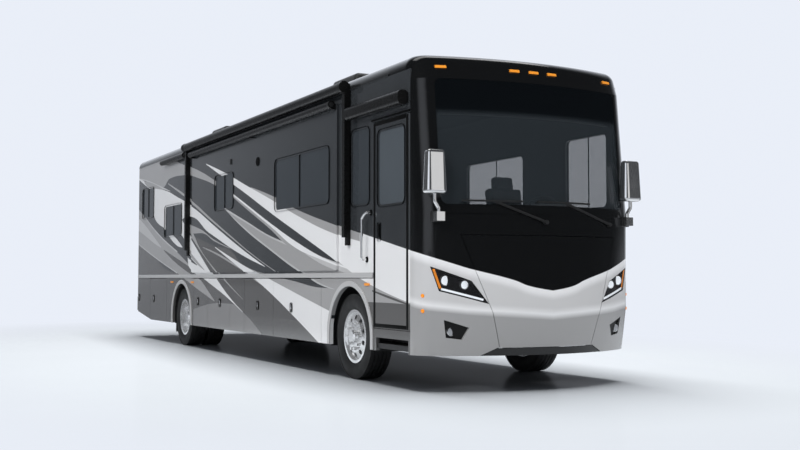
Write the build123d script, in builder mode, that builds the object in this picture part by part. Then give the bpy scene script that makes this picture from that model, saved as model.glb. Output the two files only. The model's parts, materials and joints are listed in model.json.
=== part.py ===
"""Class A motorhome: a long flat-sided coach on two axles, with a bowed front cap, one slide-out
room, roll-up awnings, an entry door, lift-up baggage doors and a generator that slides out in front.

Frame: millimetres, X forward, Y to the vehicle's left, Z up, origin on the ground under the middle.
"""

from build123d import *

import os
from math import sqrt

os.makedirs("parts", exist_ok=True)

# Lengths along the body, each set by itself
WHEELBASE = 6930.0
REAR_OVERHANG = 3255.0
ARCH_TO_DOOR = 619.0
DOOR_W = 845.0
CAP_DEPTH = 645.0
WIDTH = 2580.0
ROOF_Z = 3400.0
FLOOR_Z = 1130.0
SKIRT_Z = 360.0

# Walls and shut lines
WALL = 50.0
SKIRT = 40.0
CAP_WALL = 45.0
FLOOR_THICK = 60.0
ROOF_THICK = 150.0
GAP = 6.0
SEAT = 0.3
ROOF_EDGE_R = 130.0

# Stations that follow from them
FRONT_OVERHANG = ARCH_TO_DOOR + GAP + DOOR_W + GAP + 4.0 + CAP_DEPTH
LENGTH = REAR_OVERHANG + WHEELBASE + FRONT_OVERHANG
NOSE_X = LENGTH / 2
TAIL_X = -LENGTH / 2
SIDE_Y = WIDTH / 2
GUTTER_Z = ROOF_Z - ROOF_THICK
FLOOR_EDGE_Y = SIDE_Y - SKIRT - SEAT
REAR_AXLE_X = TAIL_X + REAR_OVERHANG
FRONT_AXLE_X = REAR_AXLE_X + WHEELBASE
CAP_X = NOSE_X - CAP_DEPTH
ROOF_SEAM_X = CAP_X - 487.0
REAR_FACE_X = TAIL_X + 30.0
REAR_SEAM_X = REAR_FACE_X + 140.0

# Wheels
TYRE_R = 476.0
TYRE_W = 270.0
RIM_R = 300.0
RIM_HALF = 104.0
RIM_LIP = 12.0
TYRE_BORE_R = 286.0
GROOVES = [-72.0, -25.0, 25.0, 72.0]
GROOVE_W, GROOVE_D = 11.0, 12.0
DUAL_SPACE = 310.0
HUB_R = 95.0
HAND_HOLES = 10
HAND_HOLE_PCD = 420.0
HAND_HOLE_R = 28.0
LUGS = 10
LUG_PCD = 285.75
LUG_R = 17.0
WHEEL_FACE_Y = SIDE_Y - 62.0
FRONT_WHEEL_Y = WHEEL_FACE_Y - RIM_HALF - RIM_LIP
DUAL_Y = WHEEL_FACE_Y - DUAL_SPACE / 2 - RIM_HALF - RIM_LIP
HUB_IN, HUB_OUT = 110.0, 235.0
ARCH_R = TYRE_R + 84.0
FLARE_W = 62.0
FLARE_T = 14.0
FLARE_EDGE_R = 6.0

# Axles
KINGPIN_Y = FRONT_WHEEL_Y - 182.0
KINGPIN_R = 20.0
PIN_CLEAR = 0.05
BEAM_W = 90.0
BEAM_H = 100.0
BEAM_DROP = 70.0
BEAM_HIGH_Y = KINGPIN_Y - 170.0
BEAM_LOW_Y = BEAM_HIGH_Y - 100.0
BEAM_Z0 = TYRE_R - 141.0
BEAM_Z1 = BEAM_Z0 + BEAM_H
BOSS_R = 48.0
BOSS_Z0, BOSS_Z1 = TYRE_R - 80.0, TYRE_R + 80.0
EAR_T = 45.0
SPINDLE_R = 40.0
FRONT_SPINDLE_TIP = 90.0
SPINDLE_TIP = 150.0
REAR_SPINDLE_R = 60.0
AXLE_TUBE_R = 70.0
DIFF_R = 190.0
SHAFT_R = 45.0
SPRING_R = 110.0
SPRING_SPREAD = 370.0

# Front cap: height, nose position and bow radius of each level, from the valance up to the brow
SHIELD_Z0, SHIELD_Z1 = ROOF_Z - 1540.0, ROOF_Z - 260.0
SHIELD_Y = SIDE_Y - 180.0
SHIELD_R = 70.0
CREASE_Z = SKIRT_Z + 440.0
CAP_LEVELS = [
    # z, nose x, bow radius, corner radius
    (SKIRT_Z, NOSE_X - 80.0, 2050.0, 250.0),
    (CREASE_Z, NOSE_X, 2050.0, 250.0),
    (SHIELD_Z0 - 60.0, NOSE_X - 70.0, 2600.0, 250.0),
    (SHIELD_Z1, NOSE_X - 305.0, 3900.0, 240.0),
    (ROOF_Z, NOSE_X - 400.0, 3900.0, 240.0),
]

# Outlines on the front, as distances in from the side and heights
PANEL_HALF = [
    (SIDE_Y - 740.0, SKIRT_Z + 80.0),
    (SIDE_Y - 650.0, SKIRT_Z + 410.0),
    (SIDE_Y - 475.0, SKIRT_Z + 880.0),
    (SIDE_Y - 360.0, SKIRT_Z + 1192.0),
]
LAMP_HALF = [
    (SIDE_Y - 85.0, SKIRT_Z + 885.0),
    (SIDE_Y - 160.0, SKIRT_Z + 640.0),
    (SIDE_Y - 608.0, SKIRT_Z + 512.0),
    (SIDE_Y - 450.0, SKIRT_Z + 740.0),
]
FOG_HALF = [
    (SIDE_Y - 207.0, SKIRT_Z + 357.0),
    (SIDE_Y - 435.0, SKIRT_Z + 279.0),
    (SIDE_Y - 381.0, SKIRT_Z + 161.0),
    (SIDE_Y - 237.0, SKIRT_Z + 180.0),
]
LIP_HALF = [
    (SIDE_Y - 510.0, SKIRT_Z - 20.0),
    (SIDE_Y - 715.0, SKIRT_Z + 80.0),
]
LIP_DEPTH = 14.0
COWL_Z, COWL_H, COWL_DEPTH = SHIELD_Z0 - 98.0, 10.0, 10.0
COWL_HALF = SIDE_Y - 130.0
FRONT_SHELL_X = CAP_X - 210.0

# Head and fog lamps
LENS_INSET, LENS_T = 3.0, 4.0
LAMP_DEPTH = 60.0
LAMP_BACK = 15.0
LAMP_WALL = 10.0
PROJECTOR_SET_BACK = 8.0
PROJECTOR_TAIL = 75.0
PROJECTORS = [
    # distance from the middle, height, radius
    (SIDE_Y - 230.0, SKIRT_Z + 745.0, 50.0),
    (SIDE_Y - 397.0, SKIRT_Z + 702.0, 44.0),
]
FOG_INSET = 22.0
FOG_Y, FOG_Z, FOG_R = SIDE_Y - 285.0, SKIRT_Z + 240.0, 42.0

# Entry door on the right side
DOOR_X1 = CAP_X - GAP - 4.0
DOOR_X0 = DOOR_X1 - DOOR_W
DOOR_Z0, DOOR_Z1 = SKIRT_Z + 237.0, GUTTER_Z - 450.0
JAMB = 30.0
DOOR_PULL_X = DOOR_X0 + 135.0
DOOR_PULL_Z = FLOOR_Z + 490.0
DOOR_PULL_W = 70.0
DOOR_PULL_H = 180.0
DOOR_PULL_T = 20.0

# Slide-out room on the right side
SLIDE_X0, SLIDE_X1 = REAR_AXLE_X + 650.0, FRONT_AXLE_X - 310.0
SLIDE_Z0, SLIDE_Z1 = FLOOR_Z + 85.0, GUTTER_Z - 100.0
SLIDE_LAP = 30.0
SLIDE_CLEAR = 8.0
SLIDE_FACE_T = 28.0
SLIDE_WALL = 45.0
SLIDE_DEPTH = 730.0

# Windows: x0, x1, z0, z1
WINDOW_R = 60.0
GLASS = 8.0
GLASS_INSET = 10.0
WINDOW_TOP = GUTTER_Z - 580.0
SLIDE_WINDOWS = [
    (SLIDE_X1 - 2030.0, SLIDE_X1 - 235.0, WINDOW_TOP - 650.0, WINDOW_TOP),
    (SLIDE_X0 + 1290.0, SLIDE_X0 + 2160.0, WINDOW_TOP - 500.0, WINDOW_TOP),
]
RIGHT_WINDOWS = [
    (DOOR_X0 - 570.0, DOOR_X0 - 120.0, WINDOW_TOP - 725.0, WINDOW_TOP + 100.0),
    (REAR_AXLE_X - 1140.0, REAR_AXLE_X - 45.0, WINDOW_TOP - 800.0, WINDOW_TOP - 280.0),
    (REAR_SEAM_X + 305.0, REAR_SEAM_X + 1135.0, WINDOW_TOP - 395.0, WINDOW_TOP + 135.0),
]
LEFT_WINDOWS = [
    (DOOR_X0 - 35.0, DOOR_X1 - 100.0, WINDOW_TOP - 740.0, WINDOW_TOP + 80.0),
    (FRONT_AXLE_X - 1730.0, FRONT_AXLE_X - 330.0, WINDOW_TOP - 650.0, WINDOW_TOP),
    (REAR_AXLE_X + 1400.0, REAR_AXLE_X + 2500.0, WINDOW_TOP - 650.0, WINDOW_TOP),
    (REAR_AXLE_X - 2300.0, REAR_AXLE_X - 1200.0, WINDOW_TOP - 650.0, WINDOW_TOP),
]
DOOR_WINDOW = (DOOR_X0 + 120.0, DOOR_X1 - 120.0, DOOR_Z1 - 895.0, DOOR_Z1 - 110.0)

# Lamps
MARKER_T = 16.0
MARKER_W = 110.0
MARKER_H = 28.0
MARKER_Y = [260.0 - SIDE_Y, -231.0, 0.0, 231.0, SIDE_Y - 260.0]
MARKER_Z = SHIELD_Z1 + 122.0
SIDE_MARKER_X = [REAR_AXLE_X - 621.0, REAR_AXLE_X + 647.0, FRONT_AXLE_X + 472.0]
SIDE_MARKER_Z = FLOOR_Z - 70.0
TAIL_LAMP_T = 14.0
TAIL_LAMP_Y = SIDE_Y - 250.0
TAIL_LAMP_Z = FLOOR_Z + 120.0
TAIL_LAMP_W = 180.0
TAIL_LAMP_H = 620.0

# Rear end
REAR_CAP_Z = SKIRT_Z + 410.0
REAR_WALL = 60.0
REAR_CORNER_R = 120.0
BUMPER_Z0 = SKIRT_Z + 152.0
HATCH_W = 1500.0
HATCH_H = 960.0
HATCH_Z0 = REAR_CAP_Z + 30.0
HATCH_Z1 = HATCH_Z0 + HATCH_H
HATCH_LIP = 50.0
LOUVRES = 7
LOUVRE_Z = HATCH_Z0 + 100.0
LOUVRE_PITCH = 60.0
LOUVRE_H = 28.0

# Skirt: panels from tail to front; doors without a name stay fixed
SKIRT_TOP = FLOOR_Z - GAP
SEAM = 8.0
KNEE_X = TAIL_X + 1188.0
KNEE_SLOPE = 0.127
TAIL_PANEL_X = REAR_SEAM_X + 927.0
REAR_ARCH_X0, REAR_ARCH_X1 = REAR_AXLE_X - 980.0, REAR_AXLE_X + 698.0
FRONT_ARCH_X0 = FRONT_AXLE_X - 828.0
BAY = FRONT_ARCH_X0 - REAR_ARCH_X1
SKIRTS = [
    # x0, x1, kind, right door, left door
    (REAR_SEAM_X, TAIL_PANEL_X, "panel", None, None),
    (TAIL_PANEL_X, REAR_ARCH_X0, "door", "baggage_door_right_rear", "baggage_door_left_rear"),
    (REAR_ARCH_X0, REAR_ARCH_X1, "arch", None, None),
    (REAR_ARCH_X1, REAR_ARCH_X1 + BAY * 0.1429, "door", "baggage_door_right_short", None),
    (
        REAR_ARCH_X1 + BAY * 0.1429,
        REAR_ARCH_X1 + BAY * 0.356,
        "door",
        "baggage_door_right_middle",
        None,
    ),
    (REAR_ARCH_X1 + BAY * 0.356, REAR_ARCH_X1 + BAY * 0.4756, "panel", None, None),
    (
        REAR_ARCH_X1 + BAY * 0.4756,
        REAR_ARCH_X1 + BAY * 0.6954,
        "door",
        "baggage_door_right_centre",
        "baggage_door_left_centre",
    ),
    (
        REAR_ARCH_X1 + BAY * 0.6954,
        FRONT_ARCH_X0,
        "door",
        "baggage_door_right_front",
        "baggage_door_left_front",
    ),
    (FRONT_ARCH_X0, DOOR_X0 - GAP + SEAM / 2, "arch", None, None),
]
SILL_X0 = DOOR_X0 - GAP + 2.0
STEP_X0, STEP_X1 = DOOR_X0 + 65.0, DOOR_X1 - 30.0
STEP_H = 140.0
STEP_Z = SKIRT_Z + 25.0
STEP_IN_Y = SIDE_Y - 290.0
RAIL_T = 12.0
RAIL_H = 56.0
GUTTER_T = 8.0
GUTTER_H = 22.0
WELL_T = 20.0
WELL_INNER_Y = SIDE_Y - 650.0

# Awnings
TOPPER_X0, TOPPER_X1 = SLIDE_X0 + 90.0, SLIDE_X1 - 30.0
TOPPER_Z = SLIDE_Z1 - 15.0
TOPPER_R = 45.0
TOPPER_REACH = 55.0
AWNING_X0, AWNING_X1 = REAR_AXLE_X + 430.0, FRONT_AXLE_X - 15.0
AWNING_Z = GUTTER_Z + 35.0
AWNING_R = 64.0
AWNING_CAP = 5.0
AWNING_REACH = 80.0
ARM_W = 70.0
ARM_D = 80.0
ARM_Z0 = FLOOR_Z + 365.0
SHORT_X0, SHORT_X1 = REAR_AXLE_X - 1146.0, REAR_AXLE_X + 310.0
SHORT_Z = GUTTER_Z - 70.0
SHORT_R = 48.0
SHORT_REACH = 60.0
DOOR_AWNING_X0, DOOR_AWNING_X1 = DOOR_X0 - 525.0, DOOR_X1 - 30.0
DOOR_AWNING_Z0, DOOR_AWNING_Z1 = DOOR_Z1 + 90.0, DOOR_Z1 + 235.0
DOOR_AWNING_D = 120.0
DOOR_AWNING_R = 45.0

# Roof
AC_L, AC_W, AC_H = 900.0, 720.0, 330.0
AC_TAPER = 12.0
AC_PLACES = [(FRONT_AXLE_X - 1630.0, -350.0), (REAR_AXLE_X - 100.0, -350.0)]
VENT_L, VENT_H = 400.0, 110.0
VENT_PLACES = [(FRONT_AXLE_X - 3730.0, 300.0), (REAR_AXLE_X + 1300.0, 300.0)]

# Mirrors, wipers and grab handle
MIRROR_X, MIRROR_Y, MIRROR_Z = NOSE_X - 289.0, SIDE_Y - 88.0, SHIELD_Z0 + 315.0
MIRROR_W, MIRROR_D, MIRROR_H = 235.0, 150.0, 440.0
MIRROR_CORNER_R, MIRROR_EDGE_R, MIRROR_TAPER = 55.0, 34.0, 3.0
MIRROR_BASE_Z = SHIELD_Z0 - 170.0
MIRROR_BASE_Y = MIRROR_Y - 45.0
MIRROR_BASE_H = 90.0
MIRROR_ARM_R, MIRROR_ARM_BEND = 19.0, 40.0
WIPER_PIVOT_Z = SHIELD_Z0 - 170.0
WIPER_Z = SHIELD_Z0 + 35.0
WIPER_LIFT = 26.0
WIPERS = [
    # pivot y, blade middle y, half blade
    (-60.0, -620.0, 310.0),
    (836.0, 190.0, 340.0),
]
GRAB_X = DOOR_X0 - 165.0
GRAB_Z0, GRAB_Z1 = FLOOR_Z + 200.0, FLOOR_Z + 705.0
GRAB_REACH = 65.0
GRAB_R = 15.0

# Chassis
RAIL_OUT = DUAL_Y - DUAL_SPACE / 2 - TYRE_W / 2 - 197.0
RAIL_IN = RAIL_OUT - 80.0
FRAME_X0, FRAME_X1 = TAIL_X + 105.0, CAP_X - 360.0
FRAME_Z0, FRAME_Z1 = TYRE_R + 144.0, TYRE_R + 384.0
BOLSTER_X = [
    TAIL_X + 455.0,
    REAR_AXLE_X - 1300.0,
    REAR_AXLE_X + 1300.0,
    (REAR_AXLE_X + FRONT_AXLE_X) / 2,
    FRONT_AXLE_X - 2430.0,
    FRONT_AXLE_X - 830.0,
    FRONT_AXLE_X + 530.0,
]
BOLSTER_H = 80.0
BOLSTER_HALF = SIDE_Y - 90.0
MEMBER = 80.0
CROSS_X = [
    REAR_AXLE_X - 1240.0,
    REAR_AXLE_X + 1000.0,
    REAR_AXLE_X + 2300.0,
    FRONT_AXLE_X - 3230.0,
    FRONT_AXLE_X - 2030.0,
    FRONT_AXLE_X - 530.0,
    FRONT_AXLE_X + 670.0,
]
FLAP_X = REAR_AXLE_X - TYRE_R - 50.0
FLAP_IN, FLAP_OUT = DUAL_Y - 277.0, SIDE_Y - 55.0
FLAP_T = 10.0
FLAP_Z0, FLAP_Z1 = 205.0, TYRE_R + 254.0
HITCH_X0, HITCH_Z = TAIL_X + 10.0, 450.0
HITCH_OUT, HITCH_IN = 63.5, 51.0
HITCH_PIN_X, HITCH_PIN_R = HITCH_X0 + 45.0, 8.1
ENGINE_X0, ENGINE_L = TAIL_X + 205.0, 1150.0
ENGINE_Z0, ENGINE_Z1 = FRAME_Z0 - 60.0, FRAME_Z1 + 110.0
GEARBOX_L, GEARBOX_H = 550.0, 340.0
ENGINE_X1 = ENGINE_X0 + ENGINE_L
GEARBOX_X1 = ENGINE_X1 + GEARBOX_L
TANK_X0, TANK_X1 = FRONT_AXLE_X - 1830.0, FRONT_AXLE_X - 730.0
TANK_Z0, TANK_Z1 = FRAME_Z0 - 190.0, FRAME_Z1 - 60.0
TRAY_X0, TRAY_X1 = CAP_X - 320.0, NOSE_X + 45.0
TRAY_Z, TRAY_T, TRAY_HALF = SKIRT_Z + 140.0, 40.0, RAIL_IN - 10.0
GENERATOR_H = 430.0
RUNNER_IN, RUNNER_OUT = RAIL_IN - 90.0, RAIL_IN - 30.0
RUNNER_X0, RUNNER_X1 = CAP_X - 560.0, NOSE_X - 255.0
RUNNER_H = 50.0

# Cab
DASH_HALF = SIDE_Y - 290.0
DASH_X0, DASH_X1 = CAP_X - 280.0, NOSE_X - 395.0
DASH_Z = SHIELD_Z0 + 20.0
DRIVER_Y = SIDE_Y - 730.0
HOOD_L, HOOD_W, HOOD_H = 210.0, 540.0, 150.0
HOOD_X = DASH_X0 + 70.0
WHEEL_X, WHEEL_Z = CAP_X - 490.0, SHIELD_Z0 + 40.0
WHEEL_TILT = -35.0
STEER_R, STEER_RIM_R = 215.0, 17.0
COLUMN_L = 300.0
SEAT_PLACES = [(CAP_X - 890.0, DRIVER_Y), (CAP_X - 1260.0, -DRIVER_Y)]
SEAT_PADS = [
    # x shift, height, lean, depth, tallness, width
    (0.0, 350.0, 0.0, 540.0, 160.0, 520.0),
    (-255.0, 720.0, -10.0, 140.0, 700.0, 500.0),
    (-325.0, 1100.0, -8.0, 110.0, 190.0, 290.0),
]

written = []


def save(part, name):
    """Label a finished piece and write it as its own STEP file."""
    part.label = name
    export_step(part, f"parts/{name}.step")
    written.append(name)


def right_plane(y=SIDE_Y):
    """Sketch plane on the right side at Y = -y: sketch x is X, sketch y is Z, normal points out."""
    return Plane.XZ.offset(y)


def box(x0, x1, y0, y1, z0, z1):
    """Add a box between two corners to the open part."""
    with Locations(((x0 + x1) / 2, (y0 + y1) / 2, (z0 + z1) / 2)):
        return Box(x1 - x0, y1 - y0, z1 - z0)


def window_outline(x0, x1, z0, z1, radius, grow=0.0):
    """Rounded rectangle of a window in the open sketch, grown on every side."""
    with Locations(((x0 + x1) / 2, (z0 + z1) / 2)):
        RectangleRounded(x1 - x0 + 2 * grow, z1 - z0 + 2 * grow, radius + grow)


def bar(p0, p1, width, depth):
    """Add a straight rectangular bar from p0 to p1 to the open part."""
    start, end = Vector(*p0), Vector(*p1)
    run = Plane(origin=start, z_dir=end - start)
    with BuildSketch(run) as end_face:
        Rectangle(width, depth)
    extrude(end_face.sketch, amount=(end - start).length)


def tube(points, bends, radius):
    """Add a round bar along straight runs joined by arcs to the open part."""
    with BuildLine() as path:
        FilletPolyline(*points, radius=bends)
    with BuildSketch(Plane(origin=path.line @ 0, z_dir=path.line % 0)) as end_face:
        Circle(radius)
    sweep(end_face.sketch, path=path.line)


# Front cap surfaces
def cap_section(z, nose, bow, corner, inset, back):
    """Closed plan outline of the cap at one level: flat sides, rounded corners, bowed front."""
    half = SIDE_Y - inset
    radius = bow - inset
    corner_x = nose - inset - radius + sqrt(radius**2 - half**2)
    with BuildSketch(Plane.XY.offset(z)) as section:
        with BuildLine():
            Line((back, -half), (corner_x, -half))
            ThreePointArc((corner_x, -half), (nose - inset, 0), (corner_x, half))
            Line((corner_x, half), (back, half))
            Line((back, half), (back, -half))
        make_face()
        fillet(section.vertices().group_by(Axis.X)[-1], corner - inset)
    return section.sketch


def cap_skin(inset, back=ROOF_SEAM_X, drop=0.0, top=0.0, edge=0.0):
    """Solid inside the cap's outer surface moved in by inset, its top edge rounded where edge is given."""
    sections = []
    for z, nose, bow, corner in CAP_LEVELS:
        level = z - drop if z == SKIRT_Z else z - top if z == ROOF_Z else z
        sections.append(cap_section(level, nose, bow, corner, inset, back))
    with BuildPart() as skin:
        loft(sections, ruled=True)
        if edge:
            roof_loop = skin.faces().sort_by(Axis.Z)[-1].edges()
            fillet(roof_loop.sort_by(Axis.X)[1:], edge)
    return skin.part


CAP_OUTER = cap_skin(0, edge=ROOF_EDGE_R)
CAP_INNER = cap_skin(CAP_WALL, back=ROOF_SEAM_X - 50, drop=10, top=60)


def front_prism(points, shrink=0.0, side=1):
    """Prism along X through the front, from an outline of (y, z) points."""
    with BuildPart() as prism:
        with BuildSketch(Plane.YZ.offset(FRONT_SHELL_X)):
            with BuildLine():
                Polyline(*[(side * y, z) for y, z in points], close=True)
            make_face()
            if shrink:
                offset(amount=-shrink, kind=Kind.INTERSECTION, mode=Mode.REPLACE)
        extrude(amount=1000)
    return prism.part


def shield_prism(shrink=0.0):
    """Prism along X through the windshield opening."""
    with BuildPart() as prism:
        with BuildSketch(Plane.YZ.offset(FRONT_SHELL_X - 400)):
            with Locations((0, (SHIELD_Z0 + SHIELD_Z1) / 2)):
                RectangleRounded(
                    2 * (SHIELD_Y - shrink), SHIELD_Z1 - SHIELD_Z0 - 2 * shrink, SHIELD_R - shrink
                )
        extrude(amount=1400)
    return prism.part


def both_sides(half):
    """Whole outline from the points of its left half."""
    return half + [(-y, z) for y, z in reversed(half)]


PANEL_OUTLINE = both_sides(PANEL_HALF)


def shell_piece(outer_inset, inner_inset, cutter):
    """Piece of the cap's skin between two insets, inside a prism."""
    with BuildPart() as piece:
        add(cap_skin(outer_inset))
        add(cap_skin(inner_inset, back=ROOF_SEAM_X - 50, drop=10, top=60), mode=Mode.SUBTRACT)
        add(cutter, mode=Mode.INTERSECT)
    return piece.part


def build_front_cap():
    """Moulded front cap with openings for the windshield, generator door and lamps."""
    with BuildPart() as front_cap:
        add(CAP_OUTER)
        add(CAP_INNER, mode=Mode.SUBTRACT)
        # behind the cap seam the side walls take over below the gutter
        with Locations(((ROOF_SEAM_X + CAP_X) / 2 - 50, 0, (SKIRT_Z + GUTTER_Z) / 2 - 100)):
            Box(CAP_X - ROOF_SEAM_X + 100, WIDTH + 100, GUTTER_Z - SKIRT_Z + 200, mode=Mode.SUBTRACT)
        # jamb that carries the entry door's rounded hinge edge
        jamb_out = -(SIDE_Y - WALL - SEAT)
        jamb_z0, jamb_z1 = FLOOR_Z + GAP, DOOR_Z1 - 2 * JAMB
        box(DOOR_X1 - WALL, CAP_X + JAMB, jamb_out, jamb_out + JAMB, jamb_z0, jamb_z1)
        box(CAP_X, CAP_X + JAMB, jamb_out - JAMB / 2, jamb_out + JAMB, jamb_z0, jamb_z1)
        add(shield_prism(), mode=Mode.SUBTRACT)
        add(front_prism(PANEL_OUTLINE, shrink=-GAP), mode=Mode.SUBTRACT)
        for side in (-1, 1):
            add(front_prism(LAMP_HALF, side=side), mode=Mode.SUBTRACT)
            add(front_prism(FOG_HALF, side=side), mode=Mode.SUBTRACT)
        # set-back lip along the bottom edge and the groove of the cowl under the windshield
        add(shell_piece(-GAP, LIP_DEPTH, front_prism(both_sides(LIP_HALF))), mode=Mode.SUBTRACT)
        cowl = both_sides([(COWL_HALF, COWL_Z), (COWL_HALF, COWL_Z + COWL_H)])
        add(shell_piece(-GAP, COWL_DEPTH, front_prism(cowl)), mode=Mode.SUBTRACT)
    save(front_cap.part, "front_cap")


def build_front_pieces():
    """Windshield and generator door, cut from the same skin as the cap."""
    save(shell_piece(4, 4 + 12, shield_prism(SEAT)), "windshield")
    save(shell_piece(0, CAP_WALL, front_prism(PANEL_OUTLINE)), "front_panel")


def barrel(x0, x1, y, z, radius):
    """Add a round lamp barrel along X to the open part."""
    with BuildSketch(Plane.YZ.offset(x0)) as disc:
        with Locations((y, z)):
            Circle(radius)
    extrude(disc.sketch, amount=x1 - x0)


def build_front_lamps():
    """Head lamp dishes with two projectors each, fog lamps in their pockets, and the clear covers."""
    lamps, lenses = [], []
    lens_back = LENS_INSET + LENS_T
    for side in (-1, 1):
        with BuildPart() as head_lamp:
            add(shell_piece(lens_back + SEAT, LAMP_DEPTH, front_prism(LAMP_HALF, SEAT, side)))
            hollow = shell_piece(LENS_INSET, LAMP_DEPTH - LAMP_BACK, front_prism(LAMP_HALF, LAMP_WALL, side))
            add(hollow, mode=Mode.SUBTRACT)
            for y, z, radius in PROJECTORS:
                outer_x = cap_surface_x(z, y + radius) - lens_back
                barrel(outer_x - PROJECTOR_TAIL, outer_x - PROJECTOR_SET_BACK, side * y, z, radius)
        lamps.append(head_lamp.part)
        with BuildPart() as fog_lamp:
            add(shell_piece(FOG_INSET, CAP_WALL, front_prism(FOG_HALF, SEAT, side)))
            fog_x = cap_surface_x(FOG_Z, FOG_Y + FOG_R)
            barrel(fog_x - CAP_WALL, fog_x, side * FOG_Y, FOG_Z, FOG_R)
        lamps.append(fog_lamp.part)
        lenses.append(shell_piece(LENS_INSET, lens_back, front_prism(LAMP_HALF, SEAT, side)))
    save(Compound(children=lamps), "front_lamps")
    save(Compound(children=lenses), "lamp_lenses")


def build_marker_lamps():
    """Amber clearance lamps on the brow and side markers on the wheel-arch panels."""
    lamps = []
    with BuildPart() as film:
        add(cap_skin(-MARKER_T))
        add(cap_skin(-SEAT, back=ROOF_SEAM_X - 50), mode=Mode.SUBTRACT)
    for y in MARKER_Y:
        outline = [
            (y - MARKER_W / 2, MARKER_Z - MARKER_H / 2),
            (y + MARKER_W / 2, MARKER_Z - MARKER_H / 2),
            (y + MARKER_W / 2, MARKER_Z + MARKER_H / 2),
            (y - MARKER_W / 2, MARKER_Z + MARKER_H / 2),
        ]
        with BuildPart() as lamp:
            add(film.part)
            add(front_prism(outline), mode=Mode.INTERSECT)
        lamps.append(lamp.part)
    for x in SIDE_MARKER_X:
        for side in (-1, 1):
            with BuildPart() as lamp:
                with Locations((x, side * (SIDE_Y + MARKER_T / 2), SIDE_MARKER_Z)):
                    Box(MARKER_W, MARKER_T, MARKER_H)
                fillet(lamp.edges().filter_by(Axis.Y), MARKER_H / 3)
            lamps.append(lamp.part)
    save(Compound(children=lamps), "marker_lamps")


def build_walls():
    """Side walls, each as thick as the real sandwich wall, with their windows and openings cut."""
    for side, windows, name in ((-1, RIGHT_WINDOWS, "right_wall"), (1, LEFT_WINDOWS, "left_wall")):
        with BuildPart() as wall:
            with BuildSketch(right_plane()):
                with Locations(((REAR_SEAM_X + CAP_X) / 2, (FLOOR_Z + GUTTER_Z) / 2)):
                    Rectangle(CAP_X - REAR_SEAM_X, GUTTER_Z - FLOOR_Z)
                for window in windows:
                    with Locations(((window[0] + window[1]) / 2, (window[2] + window[3]) / 2)):
                        RectangleRounded(
                            window[1] - window[0], window[3] - window[2], WINDOW_R, mode=Mode.SUBTRACT
                        )
                if side < 0:
                    # slide-out opening
                    with Locations(((SLIDE_X0 + SLIDE_X1) / 2, (SLIDE_Z0 + SLIDE_Z1) / 2)):
                        Rectangle(
                            SLIDE_X1 - SLIDE_X0 - 2 * SLIDE_LAP,
                            SLIDE_Z1 - SLIDE_Z0 - 2 * SLIDE_LAP,
                            mode=Mode.SUBTRACT,
                        )
                    # doorway, open to the cap and to the stepwell
                    door_back, door_top = DOOR_X0 - GAP, DOOR_Z1 + GAP
                    with Locations(((door_back + CAP_X) / 2, (FLOOR_Z + door_top) / 2)):
                        Rectangle(CAP_X - door_back, door_top - FLOOR_Z, mode=Mode.SUBTRACT)
            extrude(amount=-WALL)
        part = wall.part if side < 0 else mirror(wall.part, about=Plane.XZ)
        save(part, name)


def glass_panes(windows, outer_y):
    """Panes a little smaller than their openings, set back from the wall's outer face."""
    panes = []
    for window in windows:
        with BuildPart() as pane:
            with BuildSketch(right_plane(outer_y - GLASS_INSET)):
                window_outline(*window, WINDOW_R, -SEAT)
            extrude(amount=-GLASS)
        panes.append(pane.part)
    return panes


def build_windows():
    """Fixed panes of both walls."""
    panes = glass_panes(RIGHT_WINDOWS, SIDE_Y)
    for pane in glass_panes(LEFT_WINDOWS, SIDE_Y):
        panes.append(mirror(pane, about=Plane.XZ))
    save(Compound(children=panes), "side_windows")


def build_roof():
    """Roof slab with rounded long edges and a gutter along each side."""
    with BuildPart() as roof:
        box(REAR_SEAM_X, ROOF_SEAM_X, -SIDE_Y, SIDE_Y, GUTTER_Z, ROOF_Z)
        long_edges = roof.edges().filter_by(Axis.X).group_by(Axis.Z)[-1]
        fillet(long_edges, ROOF_EDGE_R)
        for side in (-1, 1):
            with Locations(
                ((REAR_SEAM_X + ROOF_SEAM_X) / 2, side * (SIDE_Y + GUTTER_T / 2), GUTTER_Z + GUTTER_H / 2)
            ):
                Box(ROOF_SEAM_X - REAR_SEAM_X, GUTTER_T, GUTTER_H)
    save(roof.part, "roof")


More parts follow.
